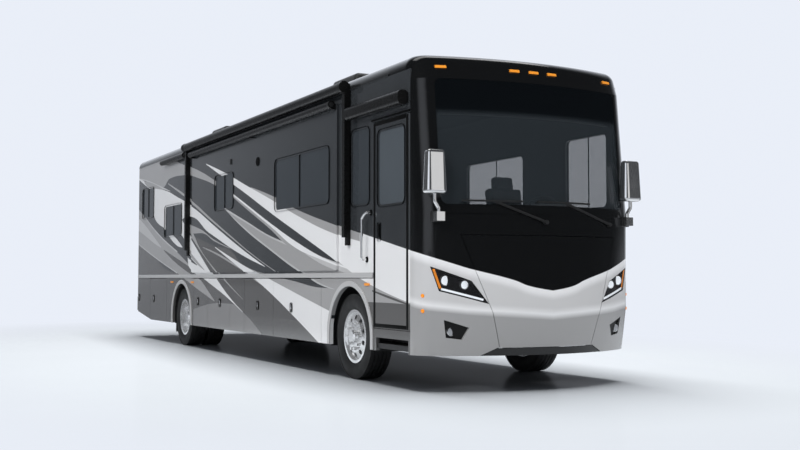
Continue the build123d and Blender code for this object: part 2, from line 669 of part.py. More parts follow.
def build_floor():
    """Floor slab with the entry stepwell let into its right front corner."""
    well_x0, well_x1 = DOOR_X0 + 10.0, CAP_X - 15.0
    well_y0, well_y1 = -(SIDE_Y - WALL - GAP - 2.0), -WELL_INNER_Y
    with BuildPart() as floor:
        box(REAR_SEAM_X, CAP_X, -FLOOR_EDGE_Y, FLOOR_EDGE_Y, FLOOR_Z - FLOOR_THICK, FLOOR_Z)
        with Locations(((well_x0 + CAP_X) / 2, (-SIDE_Y + well_y1) / 2, FLOOR_Z - FLOOR_THICK / 2)):
            Box(CAP_X - well_x0, SIDE_Y + well_y1, FLOOR_THICK, mode=Mode.SUBTRACT)
        notch_x = DOOR_X0 - GAP
        with Locations(((notch_x + CAP_X) / 2, -SIDE_Y, FLOOR_Z - FLOOR_THICK / 2)):
            Box(CAP_X - notch_x, 2 * (SIDE_Y + well_y0), FLOOR_THICK, mode=Mode.SUBTRACT)
        # two treads of folded plate going up from the sill
        rise = (FLOOR_Z - DOOR_Z0) / 2
        run = (well_y1 - well_y0) / 2
        with BuildSketch(Plane.YZ.offset(well_x0)):
            with BuildLine():
                Polyline(
                    (well_y0, DOOR_Z0),
                    (well_y0 + run + WELL_T, DOOR_Z0),
                    (well_y0 + run + WELL_T, DOOR_Z0 + rise),
                    (well_y1 + WELL_T, DOOR_Z0 + rise),
                    (well_y1 + WELL_T, FLOOR_Z - FLOOR_THICK),
                    (well_y1, FLOOR_Z - FLOOR_THICK),
                    (well_y1, DOOR_Z0 + rise + WELL_T),
                    (well_y0 + run, DOOR_Z0 + rise + WELL_T),
                    (well_y0 + run, DOOR_Z0 + WELL_T),
                    (well_y0, DOOR_Z0 + WELL_T),
                    close=True,
                )
            make_face()
        extrude(amount=well_x1 - well_x0)
        box(well_x0, well_x1, well_y1, well_y1 + WELL_T, FLOOR_Z - FLOOR_THICK, FLOOR_Z)
        box(well_x0 - WELL_T, well_x0, well_y0, well_y1 + WELL_T, DOOR_Z0, FLOOR_Z)
        box(well_x1, well_x1 + WELL_T / 2, well_y0, well_y1 + WELL_T, DOOR_Z0, FLOOR_Z)
    save(floor.part, "floor")


def build_rear_cap():
    """Rear cap: a shallow moulded shell with rounded edges and a rebated engine hatch opening."""
    hatch_half, hatch_z0, hatch_z1 = HATCH_W / 2, HATCH_Z0, HATCH_Z1
    with BuildPart() as rear_cap:
        box(REAR_FACE_X, REAR_SEAM_X, -SIDE_Y, SIDE_Y, REAR_CAP_Z, ROOF_Z)
        upright = rear_cap.edges().filter_by(Axis.Z).group_by(Axis.X)[0]
        fillet(upright, REAR_CORNER_R)
        top_loop = rear_cap.faces().sort_by(Axis.Z)[-1].edges()
        fillet(top_loop.sort_by(Axis.X)[:-1], ROOF_EDGE_R)
        with Locations(
            (
                (REAR_FACE_X + REAR_WALL + REAR_SEAM_X + 10) / 2,
                0,
                (REAR_CAP_Z - 10 + GUTTER_Z) / 2,
            )
        ):
            Box(
                REAR_SEAM_X - REAR_FACE_X - REAR_WALL + 10,
                WIDTH - 2 * WALL,
                GUTTER_Z - REAR_CAP_Z + 10,
                mode=Mode.SUBTRACT,
            )
        rebate = SKIRT + SEAT
        with BuildSketch(Plane.YZ.offset(REAR_FACE_X)):
            with Locations((0, (hatch_z0 + hatch_z1) / 2)):
                Rectangle(HATCH_W + 2 * GAP, hatch_z1 - hatch_z0 + 2 * GAP)
        extrude(amount=rebate, mode=Mode.SUBTRACT)
        with BuildSketch(Plane.YZ.offset(REAR_FACE_X)):
            with Locations((0, (hatch_z0 + hatch_z1) / 2)):
                Rectangle(HATCH_W - 2 * HATCH_LIP, hatch_z1 - hatch_z0 - 2 * HATCH_LIP)
        extrude(amount=REAR_WALL + 10, mode=Mode.SUBTRACT)
    save(rear_cap.part, "rear_cap")

    with BuildPart() as engine_hatch:
        box(REAR_FACE_X, REAR_FACE_X + SKIRT, -hatch_half, hatch_half, hatch_z0, hatch_z1)
        fillet(engine_hatch.edges().filter_by(Axis.Y).group_by(Axis.Z)[-1], SKIRT / 2 - 0.01)
        for row in range(LOUVRES):
            z = LOUVRE_Z + row * LOUVRE_PITCH
            with Locations((REAR_FACE_X + SKIRT / 2, 0, z)):
                Box(SKIRT * 2, HATCH_W - 300, LOUVRE_H, mode=Mode.SUBTRACT)
    save(engine_hatch.part, "engine_hatch")

    with BuildPart() as rear_bumper:
        box(TAIL_X, REAR_SEAM_X, -SIDE_Y, SIDE_Y, BUMPER_Z0, REAR_CAP_Z - SEAT)
        fillet(rear_bumper.edges().filter_by(Axis.Z).group_by(Axis.X)[0], REAR_CORNER_R)
        with Locations(
            ((TAIL_X + SKIRT + REAR_SEAM_X + 10) / 2, 0, (BUMPER_Z0 + REAR_CAP_Z) / 2)
        ):
            Box(
                REAR_SEAM_X - TAIL_X - SKIRT + 10, WIDTH - 2 * SKIRT, REAR_CAP_Z, mode=Mode.SUBTRACT
            )
    save(rear_bumper.part, "rear_bumper")

    lamps = []
    for side in (-1, 1):
        with BuildPart() as lamp:
            with Locations((REAR_FACE_X - TAIL_LAMP_T / 2, side * TAIL_LAMP_Y, TAIL_LAMP_Z)):
                Box(TAIL_LAMP_T, TAIL_LAMP_W, TAIL_LAMP_H)
            fillet(lamp.edges().filter_by(Axis.X), 40)
        lamps.append(lamp.part)
    save(Compound(children=lamps), "tail_lamps")


def skirt_bottom(x):
    """Height of the skirt's lower edge: level, then rising behind the rear overhang's knee."""
    if x >= KNEE_X:
        return SKIRT_Z
    return SKIRT_Z + (KNEE_X - x) * KNEE_SLOPE


def skirt_outline(x0, x1):
    """Corners of a skirt panel between two stations."""
    stations = [x0] + ([KNEE_X] if x0 < KNEE_X < x1 else []) + [x1]
    return [(x, skirt_bottom(x)) for x in stations] + [(x1, SKIRT_TOP), (x0, SKIRT_TOP)]


def build_skirts():
    """Fixed skirt panels with their wheel arches, and the lift-up baggage doors between them."""
    fixed = []
    for seam0, seam1, kind, right_name, left_name in SKIRTS:
        x0 = seam0 if seam0 == REAR_SEAM_X else seam0 + SEAM / 2
        x1 = seam1 - SEAM / 2
        for side, name in ((-1, right_name), (1, left_name)):
            moves = kind == "door" and name is not None
            with BuildPart() as panel:
                with BuildSketch(right_plane()):
                    with BuildLine():
                        Polyline(*skirt_outline(x0, x1), close=True)
                    make_face()
                    if kind == "arch":
                        axle_x = REAR_AXLE_X if x1 < FRONT_ARCH_X0 else FRONT_AXLE_X
                        with Locations((axle_x, TYRE_R)):
                            Circle(ARCH_R, mode=Mode.SUBTRACT)
                            with Locations((0, -ARCH_R / 2)):
                                Rectangle(2 * ARCH_R, ARCH_R, mode=Mode.SUBTRACT)
                extrude(amount=-SKIRT if moves else -SKIRT - SEAT)
                if moves:
                    top_edges = panel.edges().filter_by(Axis.X).group_by(Axis.Z)[-1]
                    fillet(top_edges, SKIRT / 2 - 0.01)
            part = panel.part if side < 0 else mirror(panel.part, about=Plane.XZ)
            if moves:
                save(part, name)
            elif kind == "arch":
                fixed.extend(part.solids())
            else:
                fixed.append(part)
    # sill under the entry door, open below for the step, and its plain partner on the left
    with BuildPart() as sill:
        with BuildSketch(right_plane()):
            with Locations(((SILL_X0 + CAP_X) / 2, (SKIRT_Z + DOOR_Z0 - GAP) / 2)):
                Rectangle(CAP_X - SILL_X0, DOOR_Z0 - GAP - SKIRT_Z)
            with Locations(((STEP_X0 + STEP_X1) / 2, SKIRT_Z + STEP_H / 2)):
                Rectangle(STEP_X1 - STEP_X0, STEP_H, mode=Mode.SUBTRACT)
        extrude(amount=-SKIRT)
    fixed.append(sill.part)
    with BuildPart() as left_sill:
        box(SILL_X0, CAP_X, FLOOR_EDGE_Y, SIDE_Y, SKIRT_Z, SKIRT_TOP)
    fixed.append(left_sill.part)
    save(Compound(children=fixed), "skirt_panels")


def build_flares():
    """Wheel-arch lips standing proud of the skirt."""
    flares = []
    for axle_x in (FRONT_AXLE_X, REAR_AXLE_X):
        with BuildPart() as flare:
            with BuildSketch(right_plane()):
                legs_mid = (axle_x, TYRE_R - ARCH_R / 2)
                with Locations((axle_x, TYRE_R)):
                    Circle(ARCH_R + FLARE_W)
                with Locations(legs_mid):
                    Rectangle(2 * (ARCH_R + FLARE_W), ARCH_R)
                with Locations((axle_x, TYRE_R)):
                    Circle(ARCH_R, mode=Mode.SUBTRACT)
                with Locations(legs_mid):
                    Rectangle(2 * ARCH_R, ARCH_R, mode=Mode.SUBTRACT)
                with Locations((axle_x, SKIRT_Z - ARCH_R)):
                    Rectangle(4 * ARCH_R, 2 * ARCH_R, mode=Mode.SUBTRACT)
            extrude(amount=FLARE_T)
            fillet(flare.faces().sort_by(Axis.Y)[0].edges(), FLARE_EDGE_R)
        flares.append(flare.part)
        flares.append(mirror(flare.part, about=Plane.XZ))
    save(Compound(children=flares), "wheel_arch_flares")


def build_belt_rails():
    """Bright rail along the foot of each wall."""
    rails = []
    for side, x1 in ((-1, DOOR_X0 - GAP), (1, CAP_X)):
        with BuildPart() as rail:
            y0, y1 = sorted((side * SIDE_Y, side * (SIDE_Y + RAIL_T)))
            box(REAR_SEAM_X, x1, y0, y1, FLOOR_Z + 2.0, FLOOR_Z + 2.0 + RAIL_H)
            outer = rail.faces().sort_by(Axis.Y)[0 if side < 0 else -1]
            fillet(outer.edges().filter_by(Axis.X), RAIL_T / 2)
        rails.append(rail.part)
    save(Compound(children=rails), "belt_rails")


def build_entry_door():
    """Entry door with a rounded hinge edge at the front, its window and its pull."""
    hinge_r = WALL / 2
    with BuildPart() as entry_door:
        with BuildSketch(right_plane()):
            with Locations(((DOOR_X0 + DOOR_X1) / 2, (DOOR_Z0 + DOOR_Z1) / 2)):
                Rectangle(DOOR_X1 - DOOR_X0, DOOR_Z1 - DOOR_Z0)
            x0, x1, z0, z1 = DOOR_WINDOW
            with Locations(((x0 + x1) / 2, (z0 + z1) / 2)):
                RectangleRounded(x1 - x0, z1 - z0, WINDOW_R, mode=Mode.SUBTRACT)
        extrude(amount=-WALL)
        front_edges = entry_door.edges().filter_by(Axis.Z).group_by(Axis.X)[-1]
        fillet(front_edges, hinge_r - 0.01)
        rear_edges = entry_door.edges().filter_by(Axis.Y).group_by(Axis.X)[0]
        fillet(rear_edges, 40)
        with Locations((DOOR_PULL_X, -SIDE_Y + DOOR_PULL_T / 2, DOOR_PULL_Z)):
            Box(DOOR_PULL_W, DOOR_PULL_T, DOOR_PULL_H, mode=Mode.SUBTRACT)
        with Locations((DOOR_PULL_X, -SIDE_Y + DOOR_PULL_T / 2, DOOR_PULL_Z)):
            Box(DOOR_PULL_W / 3, DOOR_PULL_T, DOOR_PULL_H)
    save(entry_door.part, "entry_door")
    save(Compound(children=glass_panes([DOOR_WINDOW], SIDE_Y)), "entry_door_glass")


def build_slide_out():
    """Slide-out room: a lapped outer face, four walls behind it, open to the cabin."""
    mid_x, mid_z = (SLIDE_X0 + SLIDE_X1) / 2, (SLIDE_Z0 + SLIDE_Z1) / 2
    room_l = SLIDE_X1 - SLIDE_X0 - 2 * SLIDE_LAP - 2 * SLIDE_CLEAR
    room_h = SLIDE_Z1 - SLIDE_Z0 - 2 * SLIDE_LAP - 2 * SLIDE_CLEAR
    face_y = SIDE_Y + SEAT + SLIDE_FACE_T
    with BuildPart() as slide_out:
        with BuildSketch(right_plane(SIDE_Y + SEAT)):
            with Locations((mid_x, mid_z)):
                RectangleRounded(SLIDE_X1 - SLIDE_X0, SLIDE_Z1 - SLIDE_Z0, 25)
        extrude(amount=SLIDE_FACE_T)
        with BuildSketch(right_plane(SIDE_Y + SEAT)):
            with Locations((mid_x, mid_z)):
                Rectangle(room_l, room_h)
        extrude(amount=-SLIDE_DEPTH)
        with BuildSketch(right_plane(face_y - SLIDE_WALL)):
            with Locations((mid_x, mid_z)):
                Rectangle(room_l - 2 * SLIDE_WALL, room_h - 2 * SLIDE_WALL)
        extrude(amount=-SLIDE_DEPTH, mode=Mode.SUBTRACT)
        with BuildSketch(right_plane(face_y)):
            for window in SLIDE_WINDOWS:
                window_outline(*window, WINDOW_R)
        extrude(amount=-SLIDE_WALL, mode=Mode.SUBTRACT)
    save(slide_out.part, "slide_out")
    save(Compound(children=glass_panes(SLIDE_WINDOWS, face_y)), "slide_out_glass")
    with BuildPart() as topper:
        roll_y = -(face_y + TOPPER_REACH)
        with Locations((TOPPER_X0, roll_y, TOPPER_Z)):
            Cylinder(
                TOPPER_R,
                TOPPER_X1 - TOPPER_X0,
                rotation=(0, 90, 0),
                align=(Align.CENTER, Align.CENTER, Align.MIN),
            )
        for x in (TOPPER_X0 + 20, (TOPPER_X0 + TOPPER_X1) / 2, TOPPER_X1 - 20):
            box(x - 20, x + 20, roll_y, -face_y, TOPPER_Z - TOPPER_R - 12, TOPPER_Z - 10)
    save(topper.part, "slide_topper")


def roller(x0, x1, y, z, radius):
    """Add a round roller along X to the open part."""
    with Locations((x0, y, z)):
        Cylinder(radius, x1 - x0, rotation=(0, 90, 0), align=(Align.CENTER, Align.CENTER, Align.MIN))


def build_awnings():
    """Patio awning with its folded arms, the short awning behind it and the door awning's case."""
    roll_y = -(SIDE_Y + AWNING_REACH)
    with BuildPart() as patio_awning:
        roller(AWNING_X0, AWNING_X1, roll_y, AWNING_Z, AWNING_R)
        for x in (AWNING_X0, AWNING_X1):
            with Locations((x, roll_y, AWNING_Z)):
                Cylinder(AWNING_R + AWNING_CAP, ARM_W, rotation=(0, 90, 0))
            head_in = -SIDE_Y - GUTTER_T
            box(x - ARM_W / 2, x + ARM_W / 2, roll_y, head_in, AWNING_Z - 60, AWNING_Z + 40)
            box(x - ARM_W / 2, x + ARM_W / 2, -SIDE_Y - ARM_D, -SIDE_Y, ARM_Z0 + 90, GUTTER_Z - 2)
            box(x - ARM_W / 2, x + ARM_W / 2, -SIDE_Y - ARM_D / 2, -SIDE_Y, ARM_Z0, ARM_Z0 + 90)
    with BuildPart() as short_awning:
        short_y = -(SIDE_Y + SHORT_REACH)
        roller(SHORT_X0, SHORT_X1, short_y, SHORT_Z, SHORT_R)
        for x in (SHORT_X0 + 15, SHORT_X1 - 15):
            box(x - 15, x + 15, short_y, -SIDE_Y, SHORT_Z - 30, SHORT_Z + 30)
    save(Compound(children=[patio_awning.part, short_awning.part]), "roll_awnings")

    with BuildPart() as door_awning:
        with BuildSketch(Plane.YZ.offset(DOOR_AWNING_X0)):
            with Locations((-SIDE_Y - DOOR_AWNING_D / 2, (DOOR_AWNING_Z0 + DOOR_AWNING_Z1) / 2)):
                RectangleRounded(DOOR_AWNING_D, DOOR_AWNING_Z1 - DOOR_AWNING_Z0, DOOR_AWNING_R)
        extrude(amount=DOOR_AWNING_X1 - DOOR_AWNING_X0)
    save(door_awning.part, "door_awning")


def build_roof_units():
    """Two roof air conditioners under moulded shrouds and two vent lids."""
    units = []
    for x, y in AC_PLACES:
        with BuildPart() as shroud:
            with BuildSketch(Plane.XY.offset(ROOF_Z)):
                with Locations((x, y)):
                    RectangleRounded(AC_L, AC_W, 120)
            extrude(amount=AC_H, taper=AC_TAPER)
            fillet(shroud.faces().sort_by(Axis.Z)[-1].edges(), 60)
        units.append(shroud.part)
    for x, y in VENT_PLACES:
        with BuildPart() as vent:
            with BuildSketch(Plane.XY.offset(ROOF_Z)):
                with Locations((x, y)):
                    RectangleRounded(VENT_L, VENT_L, 40)
            extrude(amount=VENT_H, taper=8)
        units.append(vent.part)
    save(Compound(children=units), "roof_units")


def build_mirrors():
    """Pair of outside mirrors, each a rounded head on a bent arm that rises from the cap's corner."""
    mirrors = []
    head_z = MIRROR_Z - MIRROR_H / 2
    base_top = MIRROR_BASE_Z + MIRROR_BASE_H
    for side in (-1, 1):
        with BuildPart() as mirror_unit:
            with BuildSketch(Plane.XY.offset(head_z)):
                with Locations((MIRROR_X, side * MIRROR_Y)):
                    RectangleRounded(MIRROR_D, MIRROR_W, MIRROR_CORNER_R)
            extrude(amount=MIRROR_H, taper=MIRROR_TAPER)
            ends = mirror_unit.faces().filter_by(Axis.Z).edges()
            fillet(ends, MIRROR_EDGE_R)
            tube(
                [
                    (MIRROR_X, side * MIRROR_Y, head_z + MIRROR_EDGE_R),
                    (MIRROR_X, side * MIRROR_Y, head_z - 70),
                    (MIRROR_X, side * MIRROR_BASE_Y, base_top + 40),
                    (MIRROR_X, side * MIRROR_BASE_Y, MIRROR_BASE_Z + 20),
                ],
                MIRROR_ARM_BEND,
                MIRROR_ARM_R,
            )
            base_mid = MIRROR_BASE_Z + MIRROR_BASE_H / 2
            base_end = cap_surface_x(base_mid, MIRROR_BASE_Y)
            bar(
                (MIRROR_X + 45, side * MIRROR_BASE_Y, base_mid),
                (base_end - 15, side * MIRROR_BASE_Y, base_mid),
                MIRROR_BASE_H,
                MIRROR_BASE_H,
            )
            add(cap_skin(-SEAT), mode=Mode.SUBTRACT)
        mirrors.append(mirror_unit.part)
    save(Compound(children=mirrors), "mirrors")


def cap_surface_x(z, y):
    """X of the cap's bowed front at a height and a distance from the middle."""
    for low, high in zip(CAP_LEVELS, CAP_LEVELS[1:]):
        if low[0] <= z <= high[0]:
            share = (z - low[0]) / (high[0] - low[0])
            ends = [nose - bow + sqrt(bow**2 - y**2) for _, nose, bow, _ in (low, high)]
            return ends[0] + share * (ends[1] - ends[0])
    return NOSE_X


def build_wipers():
    """Two wiper arms with blades lying low across the windshield."""
    wipers = []
    for pivot_y, tip_y, blade_half in WIPERS:
        with BuildPart() as wiper:
            pivot = (cap_surface_x(WIPER_PIVOT_Z, pivot_y) + SEAT, pivot_y, WIPER_PIVOT_Z)
            with Locations(Location(pivot, (0, 90, 0))):
                Cylinder(22, 2 * WIPER_LIFT + 40)
            tip = (cap_surface_x(WIPER_Z, tip_y) + WIPER_LIFT, tip_y, WIPER_Z)
            start = (pivot[0] + WIPER_LIFT + 8, pivot_y, WIPER_PIVOT_Z)
            bar(start, tip, 24, 16)
            ends = []
            for end_y in (tip_y - blade_half, tip_y + blade_half):
                ends.append((cap_surface_x(WIPER_Z, end_y) + WIPER_LIFT, end_y, WIPER_Z))
            bar(ends[0], tip, 22, 18)
            bar(tip, ends[1], 22, 18)
            add(cap_skin(-SEAT), mode=Mode.SUBTRACT)
        wipers.append(wiper.part)
    save(Compound(children=wipers), "wipers")


def build_grab_handle():
    """Tall grab handle beside the door."""
    y_out = -SIDE_Y - GRAB_REACH
    with BuildPart() as grab_handle:
        tube(
            [
                (GRAB_X + 100, -SIDE_Y, GRAB_Z1),
                (GRAB_X + 100, y_out, GRAB_Z1),
                (GRAB_X, y_out, GRAB_Z1 - 60),
                (GRAB_X, y_out, GRAB_Z0),
                (GRAB_X, -SIDE_Y, GRAB_Z0),
            ],
            28,
            GRAB_R,
        )
    save(grab_handle.part, "grab_handle")


def member(x0, x1, y0, y1, z0, z1):
    """One straight frame member as a part of its own."""
    with BuildPart() as piece:
        box(x0, x1, min(y0, y1), max(y0, y1), z0, z1)
    return piece.part


def build_chassis():
    """Ladder frame with cross-members, floor bolsters and generator runners, and the hitch receiver."""
    bolster_z = FLOOR_Z - FLOOR_THICK - BOLSTER_H
    runner_z = TRAY_Z - SEAT
    members = []
    for side in (-1, 1):
        inner, outer = side * RAIL_IN, side * RAIL_OUT
        members.append(member(FRAME_X0, FRAME_X1, inner, outer, FRAME_Z0, FRAME_Z1))
        for x in BOLSTER_X:
            members.append(member(x - MEMBER / 2, x + MEMBER / 2, inner, outer, FRAME_Z1, bolster_z))
        # carrier of the mud flap
        members.append(
            member(FLAP_X - 25, FLAP_X - FLAP_T / 2, outer, side * FLAP_OUT, FLAP_Z1 - 60, FLAP_Z1)
        )
        # runner under the generator tray, hung from the rail
        members.append(
            member(RUNNER_X0, RUNNER_X1, side * RUNNER_IN, side * RUNNER_OUT, runner_z - RUNNER_H, runner_z)
        )
        members.append(
            member(RUNNER_X0, RUNNER_X0 + 60, side * RUNNER_OUT, outer, runner_z - RUNNER_H, FRAME_Z0)
        )
        # hanger of the hitch bar
        members.append(member(FRAME_X0, FRAME_X0 + 60, inner, outer, HITCH_Z - 40, FRAME_Z0))
    for x in CROSS_X:
        members.append(
            member(x - MEMBER / 2, x + MEMBER / 2, -RAIL_IN, RAIL_IN, FRAME_Z0 + 40, FRAME_Z1 - 60)
        )
    for x in BOLSTER_X:
        members.append(
            member(
                x - MEMBER / 2, x + MEMBER / 2, -BOLSTER_HALF, BOLSTER_HALF, bolster_z, bolster_z + BOLSTER_H
            )
        )
    members.append(member(FRAME_X0, FRAME_X0 + 60, -RAIL_IN, RAIL_IN, HITCH_Z - 40, HITCH_Z + 40))
    save(Compound(children=members), "chassis_frame")

    half = HITCH_OUT / 2
    with BuildPart() as hitch_receiver:
        box(HITCH_X0, FRAME_X0, -half, half, HITCH_Z - half, HITCH_Z + half)
        with Locations(((HITCH_X0 + FRAME_X0) / 2, 0, HITCH_Z)):
            Box(FRAME_X0 - HITCH_X0, HITCH_IN, HITCH_IN, mode=Mode.SUBTRACT)
        with Locations(Location((HITCH_PIN_X, 0, HITCH_Z), (90, 0, 0))):
            Cylinder(HITCH_PIN_R, HITCH_OUT * 2, mode=Mode.SUBTRACT)
    save(hitch_receiver.part, "hitch_receiver")

    flaps = []
    for side in (-1, 1):
        low, high = sorted((side * FLAP_IN, side * FLAP_OUT))
        with BuildPart() as flap:
            box(FLAP_X - FLAP_T / 2, FLAP_X + FLAP_T / 2, low, high, FLAP_Z0, FLAP_Z1)
        flaps.append(flap.part)
    save(Compound(children=flaps), "mud_flaps")


def build_machinery():
    """Rear engine with its gearbox as one block, fuel tank, generator on its tray."""
    with BuildPart() as engine:
        box(ENGINE_X0, ENGINE_X1, -RAIL_IN, RAIL_IN, ENGINE_Z0, ENGINE_Z1)
        fillet(engine.edges().filter_by(Axis.X), 40)
        box(ENGINE_X1, GEARBOX_X1, -RAIL_IN / 2, RAIL_IN / 2, ENGINE_Z0, ENGINE_Z0 + GEARBOX_H)
    save(engine.part, "engine")
    with BuildPart() as fuel_tank:
        box(TANK_X0, TANK_X1, -RAIL_IN, RAIL_IN, TANK_Z0, TANK_Z1)
        fillet(fuel_tank.edges().filter_by(Axis.X), 50)
    save(fuel_tank.part, "fuel_tank")
    with BuildPart() as generator:
        box(TRAY_X0, TRAY_X1, -TRAY_HALF, TRAY_HALF, TRAY_Z, TRAY_Z + TRAY_T)
        box(
            TRAY_X0 + 60,
            TRAY_X1 - 150,
            -TRAY_HALF + 20,
            TRAY_HALF - 20,
            TRAY_Z + TRAY_T,
            TRAY_Z + TRAY_T + GENERATOR_H,
        )
        add(shell_piece_inside(CAP_WALL + SEAT), mode=Mode.INTERSECT)
    save(generator.part, "generator")


def shell_piece_inside(inset):
    """Space inside the cap's skin, for pieces that reach up to its back."""
    return cap_skin(inset, back=TRAY_X0 - 100, drop=10, top=60)


def build_axles():
    """Front beam axle with kingpin bosses, rear drive axle, and the air springs that carry them."""
    with BuildPart() as front_axle:
        # forged beam, dropped between its spring seats
        eye_z = BEAM_Z0 + BEAM_DROP
        low_half = [(BEAM_LOW_Y, BEAM_Z0), (BEAM_HIGH_Y, eye_z), (KINGPIN_Y, eye_z)]
        lower = [(-y, z) for y, z in reversed(low_half)] + low_half
        upper = [(y, z + BEAM_H) for y, z in reversed(lower)]
        with BuildSketch(Plane.YZ.offset(FRONT_AXLE_X - BEAM_W / 2)):
            with BuildLine():
                Polyline(*lower, *upper, close=True)
            make_face()
        extrude(amount=BEAM_W)
        for side in (-1, 1):
            with Locations((FRONT_AXLE_X, side * KINGPIN_Y, (BOSS_Z0 + BOSS_Z1) / 2)):
                Cylinder(BOSS_R, BOSS_Z1 - BOSS_Z0)
                Cylinder(KINGPIN_R + PIN_CLEAR, BOSS_Z1 - BOSS_Z0 + 20, mode=Mode.SUBTRACT)
    save(front_axle.part, "front_axle")

    spindle_end = DUAL_Y + SPINDLE_TIP
    with BuildPart() as rear_axle:
        with Locations(Location((REAR_AXLE_X, 0, TYRE_R), (90, 0, 0))):
            Cylinder(AXLE_TUBE_R, 2 * (DUAL_Y - HUB_IN - 12))
            Cylinder(REAR_SPINDLE_R, 2 * spindle_end)
        with Locations((REAR_AXLE_X, 0, TYRE_R)):
            Sphere(DIFF_R)
        with Locations(Location((REAR_AXLE_X, 0, TYRE_R + 30), (0, -90, 0))):
            Cylinder(
                SHAFT_R,
                REAR_AXLE_X - GEARBOX_X1 - SEAT,
                align=(Align.CENTER, Align.CENTER, Align.MIN),
            )
    save(rear_axle.part, "rear_axle")

    springs = []
    for side in (-1, 1):
        y = side * (RAIL_IN + RAIL_OUT) / 2
        with BuildPart() as front_spring:
            with Locations((FRONT_AXLE_X, y, BEAM_Z1)):
                Cylinder(
                    SPRING_R, FRAME_Z0 - BEAM_Z1, align=(Align.CENTER, Align.CENTER, Align.MIN)
                )
        springs.append(front_spring.part)
        with BuildPart() as rear_spring:
            top = TYRE_R - AXLE_TUBE_R - SEAT
            reach = SPRING_SPREAD + SPRING_R
            box(REAR_AXLE_X - reach, REAR_AXLE_X + reach, y - 45, y + 45, top - 60, top)
            for shift in (-SPRING_SPREAD, SPRING_SPREAD):
                with Locations((REAR_AXLE_X + shift, y, top)):
                    Cylinder(
                        SPRING_R, FRAME_Z0 - top, align=(Align.CENTER, Align.CENTER, Align.MIN)
                    )
        springs.append(rear_spring.part)
    save(Compound(children=springs), "air_springs")


def build_knuckles():
    """Steering knuckles: a fork round the axle's boss, a kingpin and the wheel spindle."""
    for side, name in ((-1, "knuckle_right"), (1, "knuckle_left")):
        with BuildPart() as knuckle:
            web_in, web_out = KINGPIN_Y + BOSS_R + 12, KINGPIN_Y + BOSS_R + 62
            low_ear = (BOSS_Z0 - SEAT - EAR_T, BOSS_Z0 - SEAT)
            high_ear = (BOSS_Z1 + SEAT, BOSS_Z1 + SEAT + EAR_T)
            for z0, z1 in (low_ear, high_ear):
                with Locations((FRONT_AXLE_X, side * KINGPIN_Y, (z0 + z1) / 2)):
                    Cylinder(BOSS_R, z1 - z0)
                low, high = sorted((side * KINGPIN_Y, side * web_out))
                box(FRONT_AXLE_X - BOSS_R, FRONT_AXLE_X + BOSS_R, low, high, z0, z1)
            low, high = sorted((side * web_in, side * web_out))
            box(
                FRONT_AXLE_X - BOSS_R,
                FRONT_AXLE_X + BOSS_R,
                low,
                high,
                BOSS_Z0 - SEAT - EAR_T,
                BOSS_Z1 + SEAT + EAR_T,
            )
            with Locations((FRONT_AXLE_X, side * KINGPIN_Y, (BOSS_Z0 + BOSS_Z1) / 2)):
                Cylinder(KINGPIN_R, BOSS_Z1 - BOSS_Z0 + 2 * EAR_T)
            tip = FRONT_WHEEL_Y + FRONT_SPINDLE_TIP
            with Locations(Location((FRONT_AXLE_X, side * (web_in + tip) / 2, TYRE_R), (90, 0, 0))):
                Cylinder(SPINDLE_R, tip - web_in)
        save(knuckle.part, name)


def ring_profile(points, mode=Mode.ADD):
    """Turn a closed outline of (radius, offset) points about the wheel axis in the open part."""
    with BuildSketch(Plane.XY) as outline:
        with BuildLine():
            Polyline(*points, close=True)
        make_face()
    revolve(outline.sketch, axis=Axis.Y, mode=mode)


def tyre_at(y):
    """Add one tyre centred at offset y on the wheel axis to the open part."""
    bead, half = TYRE_BORE_R, TYRE_W / 2
    lip, shoulder = RIM_R + 1.0, TYRE_R - 14.0
    flank = (lip + shoulder) / 2
    edge = half - 13
    with BuildSketch(Plane.XY) as outline:
        with BuildLine():
            Line((bead, y - RIM_HALF), (bead, y + RIM_HALF))
            Line((bead, y + RIM_HALF), (lip, y + RIM_HALF))
            ThreePointArc((lip, y + RIM_HALF), (flank, y + half), (shoulder, y + edge))
            Line((shoulder, y + edge), (TYRE_R, y + half - 30))
            Line((TYRE_R, y + half - 30), (TYRE_R, y - half + 30))
            Line((TYRE_R, y - half + 30), (shoulder, y - edge))
            ThreePointArc((shoulder, y - edge), (flank, y - half), (lip, y - RIM_HALF))
            Line((lip, y - RIM_HALF), (bead, y - RIM_HALF))
        make_face()
        for groove in GROOVES:
            with Locations((TYRE_R, y + groove)):
                Rectangle(2 * GROOVE_D, GROOVE_W, mode=Mode.SUBTRACT)
    revolve(outline.sketch, axis=Axis.Y)


def barrel_at(y):
    """Add one rim barrel with its two flanges, centred at offset y, to the open part."""
    inner, seat = TYRE_BORE_R - 16.0, TYRE_BORE_R - SEAT
    lip = RIM_HALF + RIM_LIP
    ring_profile(
        [
            (inner, y - lip),
            (RIM_R, y - lip),
            (RIM_R, y - RIM_HALF - 2),
            (seat, y - RIM_HALF - 2),
            (seat, y + RIM_HALF + 2),
            (RIM_R, y + RIM_HALF + 2),
            (RIM_R, y + lip),
            (inner, y + lip),
        ]
    )


def wheel_holes(y):
    """Cut the ring of hand holes through the wheel discs."""
    with Locations(Location((0, y, 0), (90, 0, 0))):
        with PolarLocations(HAND_HOLE_PCD / 2, HAND_HOLES, start_angle=18):
            Cylinder(HAND_HOLE_R, 400, mode=Mode.SUBTRACT)


def lug_nuts(y0, y1):
    """Add the ring of lug nuts between two offsets."""
    with Locations(Location((0, (y0 + y1) / 2, 0), (90, 0, 0))):
        with PolarLocations(LUG_PCD / 2, LUGS):
            Cylinder(LUG_R, abs(y1 - y0))


